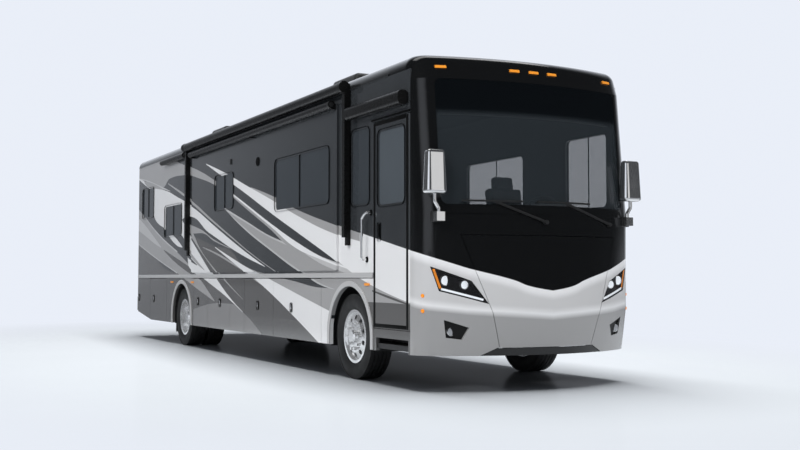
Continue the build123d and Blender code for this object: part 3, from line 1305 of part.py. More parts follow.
def build_wheels():
    """Front single wheels with a convex face, rear twin wheels with a dished face."""
    with BuildPart() as front_tyre:
        tyre_at(0)
    with BuildPart() as front_rim:
        barrel_at(0)
        ring_profile(
            [
                (TYRE_BORE_R - 10, -78),
                (230, -96),
                (180, -112),
                (0, -112),
                (0, -90),
                (175, -90),
                (225, -76),
                (TYRE_BORE_R - 10, -60),
            ]
        )
        wheel_holes(-90)
        # hub with its bearing bore, and the hub cap
        ring_profile([(0, -112), (HUB_R, -112), (HUB_R, 40), (0, 40)])
        ring_profile([(0, -160), (60, -160), (75, -145), (75, -112), (0, -112)])
        lug_nuts(-148, -112)
        bore = SPINDLE_R + PIN_CLEAR
        ring_profile([(0, -96), (bore, -96), (bore, 41), (0, 41)], mode=Mode.SUBTRACT)
    with BuildPart() as rear_tyre:
        tyre_at(-DUAL_SPACE / 2)
        tyre_at(DUAL_SPACE / 2)
    with BuildPart() as rear_rim:
        for sign in (-1, 1):
            barrel_at(sign * DUAL_SPACE / 2)
            ring_profile(
                [
                    (TYRE_BORE_R - 10, sign * 96),
                    (228, sign * 44),
                    (190, sign * 22),
                    (0, sign * 22),
                    (0, 0),
                    (196, 0),
                    (236, sign * 20),
                    (TYRE_BORE_R - 10, sign * 74),
                ]
            )
        wheel_holes(0)
        ring_profile(
            [
                (0, -HUB_OUT),
                (80, -HUB_OUT),
                (100, -HUB_OUT + 25),
                (110, 0),
                (125, 10),
                (125, HUB_IN),
                (0, HUB_IN),
            ]
        )
        lug_nuts(-58, -20)
        bore, bore_end = REAR_SPINDLE_R + PIN_CLEAR, -SPINDLE_TIP - 5
        ring_profile(
            [(0, bore_end), (bore, bore_end), (bore, HUB_IN + 1), (0, HUB_IN + 1)], mode=Mode.SUBTRACT
        )
    places = (
        ("front", FRONT_AXLE_X, FRONT_WHEEL_Y, front_tyre.part, front_rim.part),
        ("rear", REAR_AXLE_X, DUAL_Y, rear_tyre.part, rear_rim.part),
    )
    for end, x, y, tyre_part, rim_part in places:
        for side, side_name in ((-1, "right"), (1, "left")):
            for part, kind in ((tyre_part, "tyre"), (rim_part, "rim")):
                turned = part if side < 0 else mirror(part, about=Plane.XZ)
                placed = Location((x, side * y, TYRE_R)) * turned
                save(placed, f"{kind}_{end}_{side_name}")


def build_cab():
    """Dashboard, steering wheel on its column and the two cab seats."""
    with BuildPart() as dashboard:
        with BuildSketch(Plane.XZ.offset(-DASH_HALF)):
            with BuildLine():
                Polyline(
                    (DASH_X0, FLOOR_Z),
                    (CAP_X - 5, FLOOR_Z),
                    (CAP_X - 5, DASH_Z - 260),
                    (DASH_X1, DASH_Z - 180),
                    (DASH_X1, DASH_Z - 40),
                    (DASH_X0 + 160, DASH_Z),
                    (DASH_X0 - 60, DASH_Z - 90),
                    (DASH_X0 - 90, DASH_Z - 190),
                    (DASH_X0, DASH_Z - 330),
                    close=True,
                )
            make_face()
        extrude(amount=2 * DASH_HALF)
        # instrument hood in front of the driver
        with BuildSketch(Plane.XY.offset(DASH_Z - 90)):
            with Locations((HOOD_X, DRIVER_Y)):
                RectangleRounded(HOOD_L, HOOD_W, HOOD_L * 0.4)
        extrude(amount=HOOD_H, taper=10)
        fillet(dashboard.faces().sort_by(Axis.Z)[-1].edges(), 35)
        # clear of the stepwell
        with Locations(((DASH_X0 + CAP_X) / 2, -SIDE_Y, FLOOR_Z)):
            Box(
                2 * (CAP_X - DASH_X0),
                2 * (SIDE_Y - WELL_INNER_Y + 2 * WELL_T),
                2 * (DASH_Z - FLOOR_Z - 300),
                mode=Mode.SUBTRACT,
            )
    save(dashboard.part, "dashboard")

    with BuildPart() as steering_wheel:
        tilt = Location((WHEEL_X, DRIVER_Y, WHEEL_Z), (0, WHEEL_TILT, 0))
        with Locations(tilt):
            Torus(STEER_R, STEER_RIM_R)
            Cylinder(60, 40)
            with PolarLocations(STEER_R / 2, 3, start_angle=90):
                Box(STEER_R, 36, 14)
            Cylinder(28, COLUMN_L, align=(Align.CENTER, Align.CENTER, Align.MAX))
        add(dashboard.part, mode=Mode.SUBTRACT)
    save(steering_wheel.part, "steering_wheel")

    seats = []
    for x, y in SEAT_PLACES:
        with BuildPart() as seat:
            box(x - 180, x + 180, y - 180, y + 180, FLOOR_Z, FLOOR_Z + 300)
            for shift, height, lean, deep, tall, wide in SEAT_PADS:
                corner = (x + shift, y - wide / 2, FLOOR_Z + height)
                pad = Plane(origin=corner, z_dir=(0, 1, 0), x_dir=(1, 0, 0))
                with BuildSketch(pad.rotated((0, 0, lean))):
                    RectangleRounded(deep, tall, min(deep, tall) * 0.4)
                extrude(amount=wide)
        seats.append(seat.part)
    save(Compound(children=seats), "cab_seats")

    with BuildPart() as entry_step:
        box(STEP_X0 + 20, STEP_X1 - 20, -SIDE_Y + 15, -STEP_IN_Y, STEP_Z, STEP_Z + 55)
        for x in (STEP_X0 + 30, STEP_X1 - 50):
            box(x, x + 20, -STEP_IN_Y - 120, -STEP_IN_Y, STEP_Z + 55, DOOR_Z0)
    save(entry_step.part, "entry_step")


build_front_cap()
build_front_pieces()
build_front_lamps()
build_marker_lamps()
build_walls()
build_windows()
build_roof()
build_floor()
build_rear_cap()
build_skirts()
build_flares()
build_belt_rails()
build_entry_door()
build_slide_out()
build_awnings()
build_roof_units()
build_mirrors()
build_wipers()
build_grab_handle()
build_chassis()
build_machinery()
build_axles()
build_knuckles()
build_wheels()
build_cab()
for name in written:
    print(name)
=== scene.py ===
# %% [markdown]
# # A class A motorhome in a pale studio
# The coach is a long flat-sided body on two axles. Its solids come from the packed frame, and this
# lesson gives them paint, glass, rubber and chrome, then adds the trim that only matters to the eye.
# The solids could be copied and cut up here, but they stay as they are: the frame carries the sizes,
# and the scene only dresses them, so both always agree.

# %% The frame and its box
import json
import math

import bmesh
import bpy
from mathutils import Euler, Matrix, Vector

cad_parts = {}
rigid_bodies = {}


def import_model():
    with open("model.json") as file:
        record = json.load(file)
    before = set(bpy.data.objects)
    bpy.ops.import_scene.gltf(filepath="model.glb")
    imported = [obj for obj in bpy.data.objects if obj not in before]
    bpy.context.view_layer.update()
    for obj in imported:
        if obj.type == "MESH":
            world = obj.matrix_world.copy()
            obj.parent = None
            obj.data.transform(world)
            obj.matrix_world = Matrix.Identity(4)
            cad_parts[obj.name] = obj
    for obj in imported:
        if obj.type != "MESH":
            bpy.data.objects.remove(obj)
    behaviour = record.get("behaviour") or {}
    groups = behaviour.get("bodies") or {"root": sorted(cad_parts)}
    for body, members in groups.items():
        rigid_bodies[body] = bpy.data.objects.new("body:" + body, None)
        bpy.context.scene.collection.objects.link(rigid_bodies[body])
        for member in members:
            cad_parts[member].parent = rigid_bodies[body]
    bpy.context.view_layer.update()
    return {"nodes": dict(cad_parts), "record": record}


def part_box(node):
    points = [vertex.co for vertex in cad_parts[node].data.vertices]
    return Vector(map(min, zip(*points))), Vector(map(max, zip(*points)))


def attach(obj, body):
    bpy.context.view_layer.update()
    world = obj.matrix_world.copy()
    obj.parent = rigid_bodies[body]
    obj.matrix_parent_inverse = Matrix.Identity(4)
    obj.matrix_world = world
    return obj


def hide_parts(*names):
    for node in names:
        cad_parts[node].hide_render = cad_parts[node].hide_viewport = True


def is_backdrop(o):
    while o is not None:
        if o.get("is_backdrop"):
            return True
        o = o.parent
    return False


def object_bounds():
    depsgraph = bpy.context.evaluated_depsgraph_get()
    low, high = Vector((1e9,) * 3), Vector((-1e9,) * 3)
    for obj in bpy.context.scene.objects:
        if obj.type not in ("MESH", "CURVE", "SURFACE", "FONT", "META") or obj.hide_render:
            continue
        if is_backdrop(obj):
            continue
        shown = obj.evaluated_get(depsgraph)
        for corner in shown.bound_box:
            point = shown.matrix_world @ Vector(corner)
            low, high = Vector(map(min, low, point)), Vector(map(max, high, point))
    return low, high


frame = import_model()
nodes = frame["nodes"]

# %% [markdown]
# ## The camera
# The picture is taken from the right front corner, at chest height, with a lens a little longer than
# normal. The camera looks up by under three degrees, so the sides of the coach stay nearly upright.
# A camera can be aimed by a constraint or by plain angles. Plain angles are used, because place,
# turn and focal length were worked out together from the straight edges of the body.

# %% Camera
CAMERA_PLACE = (15.271, -6.3256, 1.1289)
CAMERA_AZIMUTH = 63.242
CAMERA_PITCH = 2.777
SENSOR_WIDTH = 36.0
PICTURE_WIDTH = 800
FOCAL_PIXELS = 1093.57

scene = bpy.context.scene
camera_data = bpy.data.cameras.new("camera")
camera_data.sensor_width = SENSOR_WIDTH
camera_data.lens = FOCAL_PIXELS * SENSOR_WIDTH / PICTURE_WIDTH
camera_data.clip_end = 500.0
camera = bpy.data.objects.new("camera", camera_data)
camera.location = CAMERA_PLACE
camera.rotation_euler = (math.radians(90 + CAMERA_PITCH), 0, math.radians(CAMERA_AZIMUTH))
scene.collection.objects.link(camera)
scene.camera = camera
scene.view_settings.view_transform = "Standard"
print("lens", round(camera_data.lens, 1), "mm")

# %% [markdown]
# ## A small kit for shader nodes
# Every finish, and the world too, is a handful of nodes. A short class keeps the wiring readable: it
# adds a node, links what it is given, and hands back the output socket. Wiring each finish by hand
# would also work, but the same ten lines would come back twenty times.


# %% Wiring
class Wiring:
    """Nodes of one tree, and the links between them."""

    def __init__(self, tree):
        self.tree = tree

    def add(self, kind, **settings):
        node = self.tree.nodes.new(kind)
        for key, value in settings.items():
            setattr(node, key, value)
        return node

    def feed(self, socket, value):
        if isinstance(value, bpy.types.NodeSocket):
            self.tree.links.new(value, socket)
        else:
            socket.default_value = value

    def math(self, operation, first, second=0.0, clamp=False):
        node = self.add("ShaderNodeMath", operation=operation, use_clamp=clamp)
        self.feed(node.inputs[0], first)
        self.feed(node.inputs[1], second)
        return node.outputs[0]

    def mix(self, share, first, second):
        node = self.add("ShaderNodeMix", data_type="RGBA")
        self.feed(node.inputs["Factor"], share)
        self.feed(node.inputs["A"], first)
        self.feed(node.inputs["B"], second)
        return node.outputs["Result"]

    def spread(self, value, low, high, start=0.3, stop=0.7, smooth=False):
        node = self.add("ShaderNodeMapRange")
        node.interpolation_type = "SMOOTHSTEP" if smooth else "LINEAR"
        self.feed(node.inputs["Value"], value)
        for key, number in zip(("From Min", "From Max", "To Min", "To Max"), (start, stop, low, high)):
            self.feed(node.inputs[key], number)
        return node.outputs[0]

    def curve(self, value, points):
        """A smooth line through a few (value, height) points, read at value."""
        start, stop = points[0][0], points[-1][0]
        low = min(p[1] for p in points)
        high = max(p[1] for p in points) + 1e-4
        node = self.add("ShaderNodeFloatCurve")
        line = node.mapping.curves[0]
        for index, (x, z) in enumerate(points):
            at = ((x - start) / (stop - start), (z - low) / (high - low))
            if index in (0, len(points) - 1):
                line.points[-1 if index else 0].location = at
            else:
                line.points.new(*at)
        node.mapping.update()
        self.feed(node.inputs["Value"], self.spread(value, 0.0, 1.0, start, stop))
        return self.spread(node.outputs[0], low, high, 0.0, 1.0)


print("kinds of wiring", len([name for name in vars(Wiring) if not name.startswith("_")]))

# %% [markdown]
# ## A finish
# A finish is one Principled shader with nodes that feed its colour, roughness and bumps. All of them
# read the object's own coordinates, so grain and bands keep their size in metres and move with a
# door. Unwrapped images could do the same, but they blur close up and need a file.


# %% Finish
class Finish(Wiring):
    """One material: a Principled shader and the nodes that feed it."""

    def __init__(self, name, **values):
        self.material = bpy.data.materials.new(name)
        self.material.use_nodes = True
        super().__init__(self.material.node_tree)
        self.shader = self.tree.nodes["Principled BSDF"]
        self.place = None
        for socket, value in values.items():
            self.shader.inputs[socket.replace("_", " ")].default_value = value

    def coordinates(self):
        if self.place is None:
            self.place = self.add("ShaderNodeTexCoord").outputs["Object"]
        return self.place

    def axes(self):
        split = self.add("ShaderNodeSeparateXYZ")
        self.feed(split.inputs[0], self.coordinates())
        return split.outputs

    def noise(self, scale, detail=3.0, stretch=None):
        node = self.add("ShaderNodeTexNoise")
        place = self.coordinates()
        if stretch:
            mapping = self.add("ShaderNodeMapping")
            mapping.inputs["Scale"].default_value = stretch
            self.feed(mapping.inputs["Vector"], place)
            place = mapping.outputs[0]
        self.feed(node.inputs["Vector"], place)
        node.inputs["Scale"].default_value = scale
        node.inputs["Detail"].default_value = detail
        return node.outputs["Fac"]

    def bump(self, height, distance, strength=1.0):
        node = self.add("ShaderNodeBump")
        node.inputs["Distance"].default_value = distance
        node.inputs["Strength"].default_value = strength
        self.feed(node.inputs["Height"], height)
        self.feed(self.shader.inputs["Normal"], node.outputs[0])

    def colour(self, value):
        self.feed(self.shader.inputs["Base Color"], value)

    def roughness(self, value):
        self.feed(self.shader.inputs["Roughness"], value)


def grey(level, warm=0.0):
    return (level * (1 + warm), level, level * (1 - warm), 1.0)


def scaled(colour, share):
    return tuple(part * share for part in colour[:3]) + (1.0,)


print("middle grey", grey(0.18))

# %% [markdown]
# ## Sweeping stripes
# The side carries long tapering bands that run down from the rear roof to the front wheel. Each band
# is the space between two smooth lines z = f(x), so one material reading the object's X and Z paints
# walls, slide-out and baggage doors alike, and the bands stay joined when the doors are shut. Bands
# cut as thin solids would do too, but they would have to be cut again at every door.

# %% Colours of the bands
CHARCOAL = grey(0.037, -0.08)
WHITE = grey(0.82, 0.008)
PEARL = grey(0.52, 0.012)
SILVER = grey(0.35, 0.015)
MID_GREY = grey(0.096, 0.03)
TAUPE = grey(0.076, 0.04)
TOE_GREY = grey(0.23, 0.02)
LINING = grey(0.09)
ROOF_DARK = grey(0.018, -0.04)
print("body colour", CHARCOAL)

# %% [markdown]
# The lines are set from the picture, with a few points each, and later bands cover earlier ones, as a
# painter would spray them. A smooth curve through few points keeps each sweep fair, where a long list of
# points would make it wobble.

# %% The lines of the bands, in metres: colour, upper line, lower line
BANDS = [
    # the grey lower body and its lighter toe
    (MID_GREY, [(-6.2, 1.83), (-5.0, 1.565), (-3.2, 1.215), (-1.9, 1.3), (-0.9, 1.6), (0.5, 1.25),
                (3.2, 0.4)],
     [(-6.2, 0.2), (3.2, 0.2)]),
    (TAUPE, [(-2.2, 1.82), (-1.7, 1.74), (-0.9, 1.60), (0.5, 1.24), (2.4, 0.62)],
     [(-2.2, 1.80), (-1.5, 1.38), (-0.5, 0.92), (0.6, 0.60), (2.4, 0.60)]),
    (TOE_GREY, [(-2.2, 0.62), (-0.2, 0.75), (0.3, 0.645), (1.1, 0.37)], [(-2.2, 0.3), (1.1, 0.3)]),
    # silver over the rear roof edge; under the rear awning its upper line follows the awning's shadow, so
    # the charcoal left above it there is painted shadow
    (SILVER, [(-6.2, 3.45), (-4.2, 3.45), (-3.2, 3.12), (-2.0, 2.89), (-1.0, 2.63), (-0.6, 2.5)],
     [(-6.2, 3.07), (-5.0, 2.905), (-4.2, 2.76), (-3.75, 2.88), (-2.9, 2.87), (-1.75, 2.715),
      (-0.6, 2.45)]),
    (PEARL, [(-6.2, 3.09), (-5.5, 3.0), (-4.5, 2.82), (-3.7, 2.66)],
     [(-6.2, 3.06), (-5.5, 2.975), (-4.5, 2.78), (-3.7, 2.65)]),
    (WHITE, [(-6.05, 3.07), (-5.5, 2.955), (-5.1, 2.85)], [(-6.05, 3.05), (-5.6, 2.92), (-5.1, 2.78)]),
    (SILVER, [(-5.6, 2.98), (-5.0, 2.9), (-4.1, 2.7)], [(-5.6, 2.95), (-5.0, 2.78), (-4.1, 2.69)]),
    # silver and pearl at the tail
    (SILVER, [(-6.2, 2.53), (-5.5, 2.28), (-4.5, 1.92), (-3.2, 1.57), (-2.25, 1.27), (-1.05, 0.78)],
     [(-6.2, 1.83), (-5.0, 1.565), (-3.2, 1.215), (-2.25, 1.01), (-1.05, 0.77)]),
    (PEARL, [(-6.2, 2.34), (-5.5, 2.13), (-4.75, 1.86), (-4.3, 1.69)],
     [(-6.2, 2.09), (-5.5, 1.935), (-4.75, 1.76), (-4.3, 1.675)]),
    (TAUPE, [(-4.1, 1.635), (-3.25, 1.47), (-2.0, 1.22), (-1.2, 1.03)],
     [(-4.1, 1.62), (-3.25, 1.38), (-2.0, 1.13), (-1.2, 1.02)]),
    (PEARL, [(-6.2, 1.84), (-5.0, 1.575), (-3.2, 1.225)], [(-6.2, 1.82), (-5.0, 1.555), (-3.2, 1.205)]),
    (PEARL, [(-5.5, 2.295), (-4.5, 1.94), (-3.2, 1.59)], [(-5.5, 2.275), (-4.5, 1.915), (-3.2, 1.565)]),
    # the fanning white sweep behind the awning arm
    (WHITE, [(-4.93, 2.6), (-4.2, 2.6), (-3.0, 2.15), (-2.62, 1.94), (-2.0, 1.63), (-1.0, 1.14),
             (-0.2, 0.81), (0.3, 0.65)],
     [(-4.93, 2.45), (-4.1, 2.02), (-3.2, 1.68), (-2.62, 1.60), (-2.5, 1.33), (-1.5, 1.09),
      (-0.5, 0.86), (0.3, 0.64)]),
    (CHARCOAL, [(-3.5, 1.9), (-2.9, 1.84), (-2.6, 1.60), (-1.9, 1.34)],
     [(-3.5, 1.88), (-2.9, 1.66), (-2.6, 1.49), (-1.9, 1.33)]),
    (SILVER, [(-2.7, 1.70), (-2.0, 1.44), (-1.5, 1.26)], [(-2.7, 1.65), (-2.0, 1.38), (-1.5, 1.25)]),
    (WHITE, [(-4.93, 2.79), (-4.0, 2.685), (-3.2, 2.515), (-2.25, 2.30), (-0.75, 1.855),
             (0.25, 1.565), (1.3, 1.285)],
     [(-4.93, 2.45), (-4.1, 2.03), (-3.4, 2.0), (-2.62, 2.15), (-1.25, 1.83), (0.25, 1.475),
      (1.3, 1.28)]),
    # silver round the dark loop under the sweep
    (SILVER, [(-2.7, 2.05), (-1.75, 1.91), (-1.0, 1.72), (-0.2, 1.57)],
     [(-2.7, 1.98), (-2.2, 1.86), (-1.6, 1.835), (-1.0, 1.695), (-0.2, 1.56)]),
    (SILVER, [(-2.7, 1.99), (-2.4, 1.99), (-2.15, 1.86), (-1.75, 1.6), (-0.75, 1.19), (0.3, 0.83)],
     [(-2.7, 1.95), (-2.4, 1.86), (-2.15, 1.75), (-1.75, 1.57), (-0.75, 1.16), (0.3, 0.825)]),
    (SILVER, [(-1.6, 1.62), (-0.8, 1.50), (-0.2, 1.38), (0.3, 1.26)],
     [(-1.6, 1.61), (-0.8, 1.47), (-0.2, 1.35), (0.3, 1.25)]),
    # thin silver line over the white sweep
    (SILVER, [(-3.85, 2.81), (-2.3, 2.41), (-1.0, 2.0), (-0.2, 1.755), (0.75, 1.47), (1.75, 1.21)],
     [(-3.85, 2.79), (-2.3, 2.36), (-1.0, 1.965), (-0.2, 1.73), (0.75, 1.455), (1.75, 1.2)]),
    # silver over the lower white, and the lower white
    (SILVER, [(0.4, 1.31), (1.25, 1.185), (2.25, 1.095), (3.5, 1.015), (4.0, 1.16), (5.6, 0.9)],
     [(0.4, 1.2), (1.25, 1.0), (2.25, 0.8), (3.5, 0.70), (4.0, 0.60), (5.6, 0.80)]),
    (WHITE, [(-0.95, 1.605), (-0.2, 1.44), (0.5, 1.29), (1.25, 1.145), (2.25, 0.96), (3.5, 0.735)],
     [(-0.95, 1.595), (-0.2, 1.39), (0.5, 1.2), (1.25, 0.99), (2.25, 0.665), (3.5, 0.22)]),
    # the two silver lenses and the dark stripe between the whites
    (PEARL, [(-0.5, 2.18), (0.5, 1.935), (1.5, 1.69), (2.6, 1.50), (3.4, 1.36), (4.6, 1.18)],
     [(-0.5, 2.17), (0.5, 1.80), (1.5, 1.50), (2.5, 1.22), (3.45, 1.01), (4.6, 1.0)]),
    (SILVER, [(-0.3, 2.1), (0.5, 1.91), (1.5, 1.668), (2.6, 1.46), (3.4, 1.27), (4.6, 1.1)],
     [(-0.3, 2.09), (0.5, 1.825), (1.5, 1.525), (2.5, 1.245), (3.45, 1.02), (4.6, 0.95)]),
    (SILVER, [(-0.2, 2.38), (0.5, 2.15), (1.5, 1.83), (2.2, 1.62), (2.8, 1.45)],
     [(-0.2, 2.35), (0.5, 2.11), (1.5, 1.78), (2.2, 1.53), (2.8, 1.42)]),
    (WHITE, [(-0.2, 2.395), (0.5, 2.175), (1.5, 1.86), (2.5, 1.57), (3.25, 1.385), (4.3, 1.19)],
     [(-0.2, 2.37), (0.5, 2.145), (1.5, 1.82), (2.5, 1.49), (3.25, 1.35), (4.3, 1.18)]),
    (SILVER, [(0.7, 2.4), (1.65, 2.2), (2.5, 1.98), (3.5, 1.775), (4.5, 1.59)],
     [(0.7, 2.38), (1.65, 2.12), (2.5, 1.89), (3.5, 1.65), (4.5, 1.49)]),
    (WHITE, [(-1.45, 2.93), (-0.45, 2.695), (0.5, 2.44), (1.5, 2.18), (2.5, 1.905), (3.5, 1.67),
             (4.4, 1.52), (5.7, 1.375)],
     [(-1.45, 2.92), (-0.45, 2.61), (0.5, 2.32), (1.5, 2.0), (2.5, 1.695), (3.5, 1.39),
      (4.4, 1.1), (5.7, 0.845)]),
    (WHITE, [(4.3, 1.63), (5.0, 1.50), (5.7, 1.375)], [(4.3, 1.3), (5.0, 1.2), (5.7, 1.1)]),
    (TAUPE, [(4.62, 1.0), (5.1, 0.93), (5.55, 0.855)], [(4.62, 0.985), (5.1, 0.905), (5.55, 0.845)]),
    (MID_GREY, [(4.5, 0.87), (5.1, 0.87), (5.7, 0.845)], [(4.5, 0.2), (5.7, 0.2)]),
]
print("bands drawn", len(BANDS))

# %% [markdown]
# The same paint covers walls, doors and slide-out, also where they turn indoors, so inside a box of
# the room's size the lining takes over, and above the gutters the dark roof. A second material on
# the inner faces would need the solids changed.

# %% Side paint
EDGE = 0.004
ROOM_HALF = 1.262
ROOM_Z = (1.12, 3.27)
ROOM_BACK = -6.09
ROOM_EDGE = 0.01
ROOF_PAINT_Z = 3.252
FLAKE = 900.0


def paint_bands(finish, base, bands):
    x, _, z = finish.axes()
    paint = base
    for colour, upper, lower in bands:
        below = finish.math("SUBTRACT", finish.curve(x, upper), z)
        above = finish.math("SUBTRACT", z, finish.curve(x, lower))
        inside = finish.math("MINIMUM", below, above)
        ahead = finish.math("SUBTRACT", x, max(upper[0][0], lower[0][0]))
        behind = finish.math("SUBTRACT", min(upper[-1][0], lower[-1][0]), x)
        inside = finish.math("MINIMUM", inside, finish.math("MINIMUM", ahead, behind))
        paint = finish.mix(finish.spread(inside, 0.0, 1.0, -EDGE / 2, EDGE / 2), paint, colour)
    return paint


def body_paint():
    finish = Finish("body_paint", Specular_IOR_Level=0.2, Coat_Weight=0.8, Coat_Roughness=0.04)
    paint = paint_bands(finish, CHARCOAL, BANDS)
    x, y, z = finish.axes()
    indoors = finish.math("SUBTRACT", ROOM_HALF, finish.math("ABSOLUTE", y))
    indoors = finish.math("MINIMUM", indoors, ROOM_EDGE)
    indoors = finish.math("MINIMUM", indoors, finish.math("SUBTRACT", z, ROOM_Z[0]))
    indoors = finish.math("MINIMUM", indoors, finish.math("SUBTRACT", ROOM_Z[1], z))
    indoors = finish.math("MINIMUM", indoors, finish.math("SUBTRACT", x, ROOM_BACK))
    paint = finish.mix(finish.spread(indoors, 0.0, 1.0, 0.0, EDGE), paint, LINING)
    on_roof = finish.spread(z, 0.0, 1.0, ROOF_PAINT_Z, ROOF_PAINT_Z + EDGE)
    paint = finish.mix(on_roof, paint, ROOF_DARK)
    flake = finish.spread(finish.noise(FLAKE, 2.0), 0.94, 1.06)
    shaded = finish.add("ShaderNodeVectorMath", operation="SCALE")
    finish.feed(shaded.inputs[0], paint)
    finish.feed(shaded.inputs["Scale"], flake)
    finish.colour(shaded.outputs[0])
    finish.roughness(finish.spread(finish.noise(3.0), 0.18, 0.26))
    return finish.material


SIDE_PAINT = body_paint()
print("side paint nodes", len(SIDE_PAINT.node_tree.nodes))

# %% [markdown]
# ## The stage
# A pale floor runs into a pale background. Soft lamps light the coach from the right, the front and
# behind, and the floor has a broad lamp of its own above. The room behind the camera is dark, as in
# a car studio, so dark paint stays dark in front and mirrors the pale cove only at the flanks.
# A curved backdrop could hide the horizon. Here the floor fades into the colour of the world with
# distance, which has no edge from any side.

# %% Floor
BACKDROP = (0.82, 0.86, 0.94, 1.0)
FLOOR_HALF = 150.0
FLOOR_TONES = (grey(0.22, -0.05), grey(0.23, -0.05))
FLOOR_SHEEN = {"Coat_Weight": 0.08, "Coat_Roughness": 0.15}
FLOOR_FADE = (3.4, 8.0)
FLOOR_LONG = 0.55
FLOOR_MIRRORED = 0.30


def studio_floor():
    mesh = bmesh.new()
    bmesh.ops.create_grid(mesh, x_segments=2, y_segments=2, size=FLOOR_HALF)
    data = bpy.data.meshes.new("studio_floor")
    mesh.to_mesh(data)
    mesh.free()
    floor = bpy.data.objects.new("studio_floor", data)
    scene.collection.objects.link(floor)
    finish = Finish("studio_floor", Roughness=0.6, Specular_IOR_Level=0.0, **FLOOR_SHEEN)
    finish.colour(finish.mix(finish.noise(0.6), *FLOOR_TONES))
    along, across, _ = finish.axes()
    along = finish.math("POWER", finish.math("MULTIPLY", along, FLOOR_LONG), 2.0)
    reach = finish.math("SQRT", finish.math("ADD", along, finish.math("POWER", across, 2.0)))
    far = finish.spread(reach, 0.0, 1.0, *FLOOR_FADE, smooth=True)
    cove = finish.add("ShaderNodeEmission")
    cove.inputs["Color"].default_value = BACKDROP
    mirrored = finish.add("ShaderNodeLightPath").outputs["Is Glossy Ray"]
    finish.feed(cove.inputs["Strength"], finish.spread(mirrored, 1.0, FLOOR_MIRRORED, 0.0, 1.0))
    blend = finish.add("ShaderNodeMixShader")
    finish.feed(blend.inputs[0], far)
    finish.feed(blend.inputs[1], finish.shader.outputs[0])
    finish.feed(blend.inputs[2], cove.outputs[0])
    finish.feed(finish.tree.nodes["Material Output"].inputs["Surface"], blend.outputs[0])
    floor.data.materials.append(finish.material)
    floor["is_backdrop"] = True
    return floor


floor = studio_floor()
print("floor half", FLOOR_HALF, "m")

# %% [markdown]
# The world has two jobs: it is the pale background that the camera sees, and the room that the paint
# mirrors. A light-path node tells the two apart, where a picture of a studio would mix them.

# %% World
DARK_ROOM = (0.020, 0.022, 0.025, 1.0)
COVES = [
    # direction, cosine where it starts, cosine where it is full
    ((-0.80, 0.55, 0.25), 0.45, 0.97),
    ((0.42, -0.90, 0.10), 0.86, 0.99),
]
WORLD_STRENGTH = 0.42


def studio_world():
    """Pale to the camera, dark where paint mirrors it, but for two coves; dimmer as a light."""
    world = bpy.data.worlds.new("studio")
    world.use_nodes = True
    scene.world = world
    back = world.node_tree.nodes["Background"]
    wiring = Wiring(world.node_tree)
    place = wiring.add("ShaderNodeTexCoord").outputs["Generated"]
    path = wiring.add("ShaderNodeLightPath").outputs
    dark = path["Is Glossy Ray"]
    for direction, start, full in COVES:
        toward = wiring.add("ShaderNodeVectorMath", operation="DOT_PRODUCT")
        wiring.feed(toward.inputs[0], place)
        wiring.feed(toward.inputs[1], direction)
        cove = wiring.spread(toward.outputs["Value"], 0.0, 1.0, start, full, smooth=True)
        dark = wiring.math("SUBTRACT", dark, cove, clamp=True)
    wiring.feed(back.inputs["Color"], wiring.mix(dark, BACKDROP, DARK_ROOM))
    seen = wiring.math("ADD", path["Is Camera Ray"], path["Is Glossy Ray"], clamp=True)
    seen = wiring.math("ADD", seen, path["Is Transmission Ray"], clamp=True)
    wiring.feed(back.inputs["Strength"], wiring.spread(seen, WORLD_STRENGTH, 1.0, 0.0, 1.0))


studio_world()
print("coves in the world", len(COVES))

# %% [markdown]
# Four soft lamps stand in for the boxes of a car studio, and a fifth lights the floor. Sun lamps
# would be simpler, but their hard shadows don't suit a room. Most are hidden from mirrors, so that
# no white panel shows in the dark sides.


# %% Lamps
def soft_lamp(name, place, target, size, power, mirrored):
    data = bpy.data.lights.new(name, "AREA")
    data.shape = "RECTANGLE"
    data.size, data.size_y = size
    data.energy = power
    lamp = bpy.data.objects.new(name, data)
    lamp.location = place
    lamp.rotation_euler = (Vector(target) - Vector(place)).to_track_quat("-Z", "Y").to_euler()
    lamp.visible_glossy = mirrored
    scene.collection.objects.link(lamp)
    return lamp


FLOOR_POWER = 21500.0
side_lamps = [
    soft_lamp("key_lamp", (6.0, -13.0, 11.0), (0.0, 0.0, 1.5), (14.0, 6.0), 1500.0, False),
    soft_lamp("front_lamp", (17.0, 4.0, 8.0), (5.0, 0.0, 1.8), (8.0, 5.0), 700.0, False),
    soft_lamp("rear_lamp", (-12.0, 9.0, 9.0), (0.0, 0.0, 1.5), (12.0, 6.0), 900.0, False),
]
soft_lamp("roof_lamp", (2.0, 0.0, 14.0), (0.0, 0.0, 0.0), (16.0, 5.0), 500.0, True)
floor_spot = (1.0, 0.0, 0.0)
floor_lamp = soft_lamp("floor_lamp", (1.0, 0.0, 22.0), floor_spot, (24.0, 10.0), FLOOR_POWER, False)
print("side lamps", len(side_lamps))
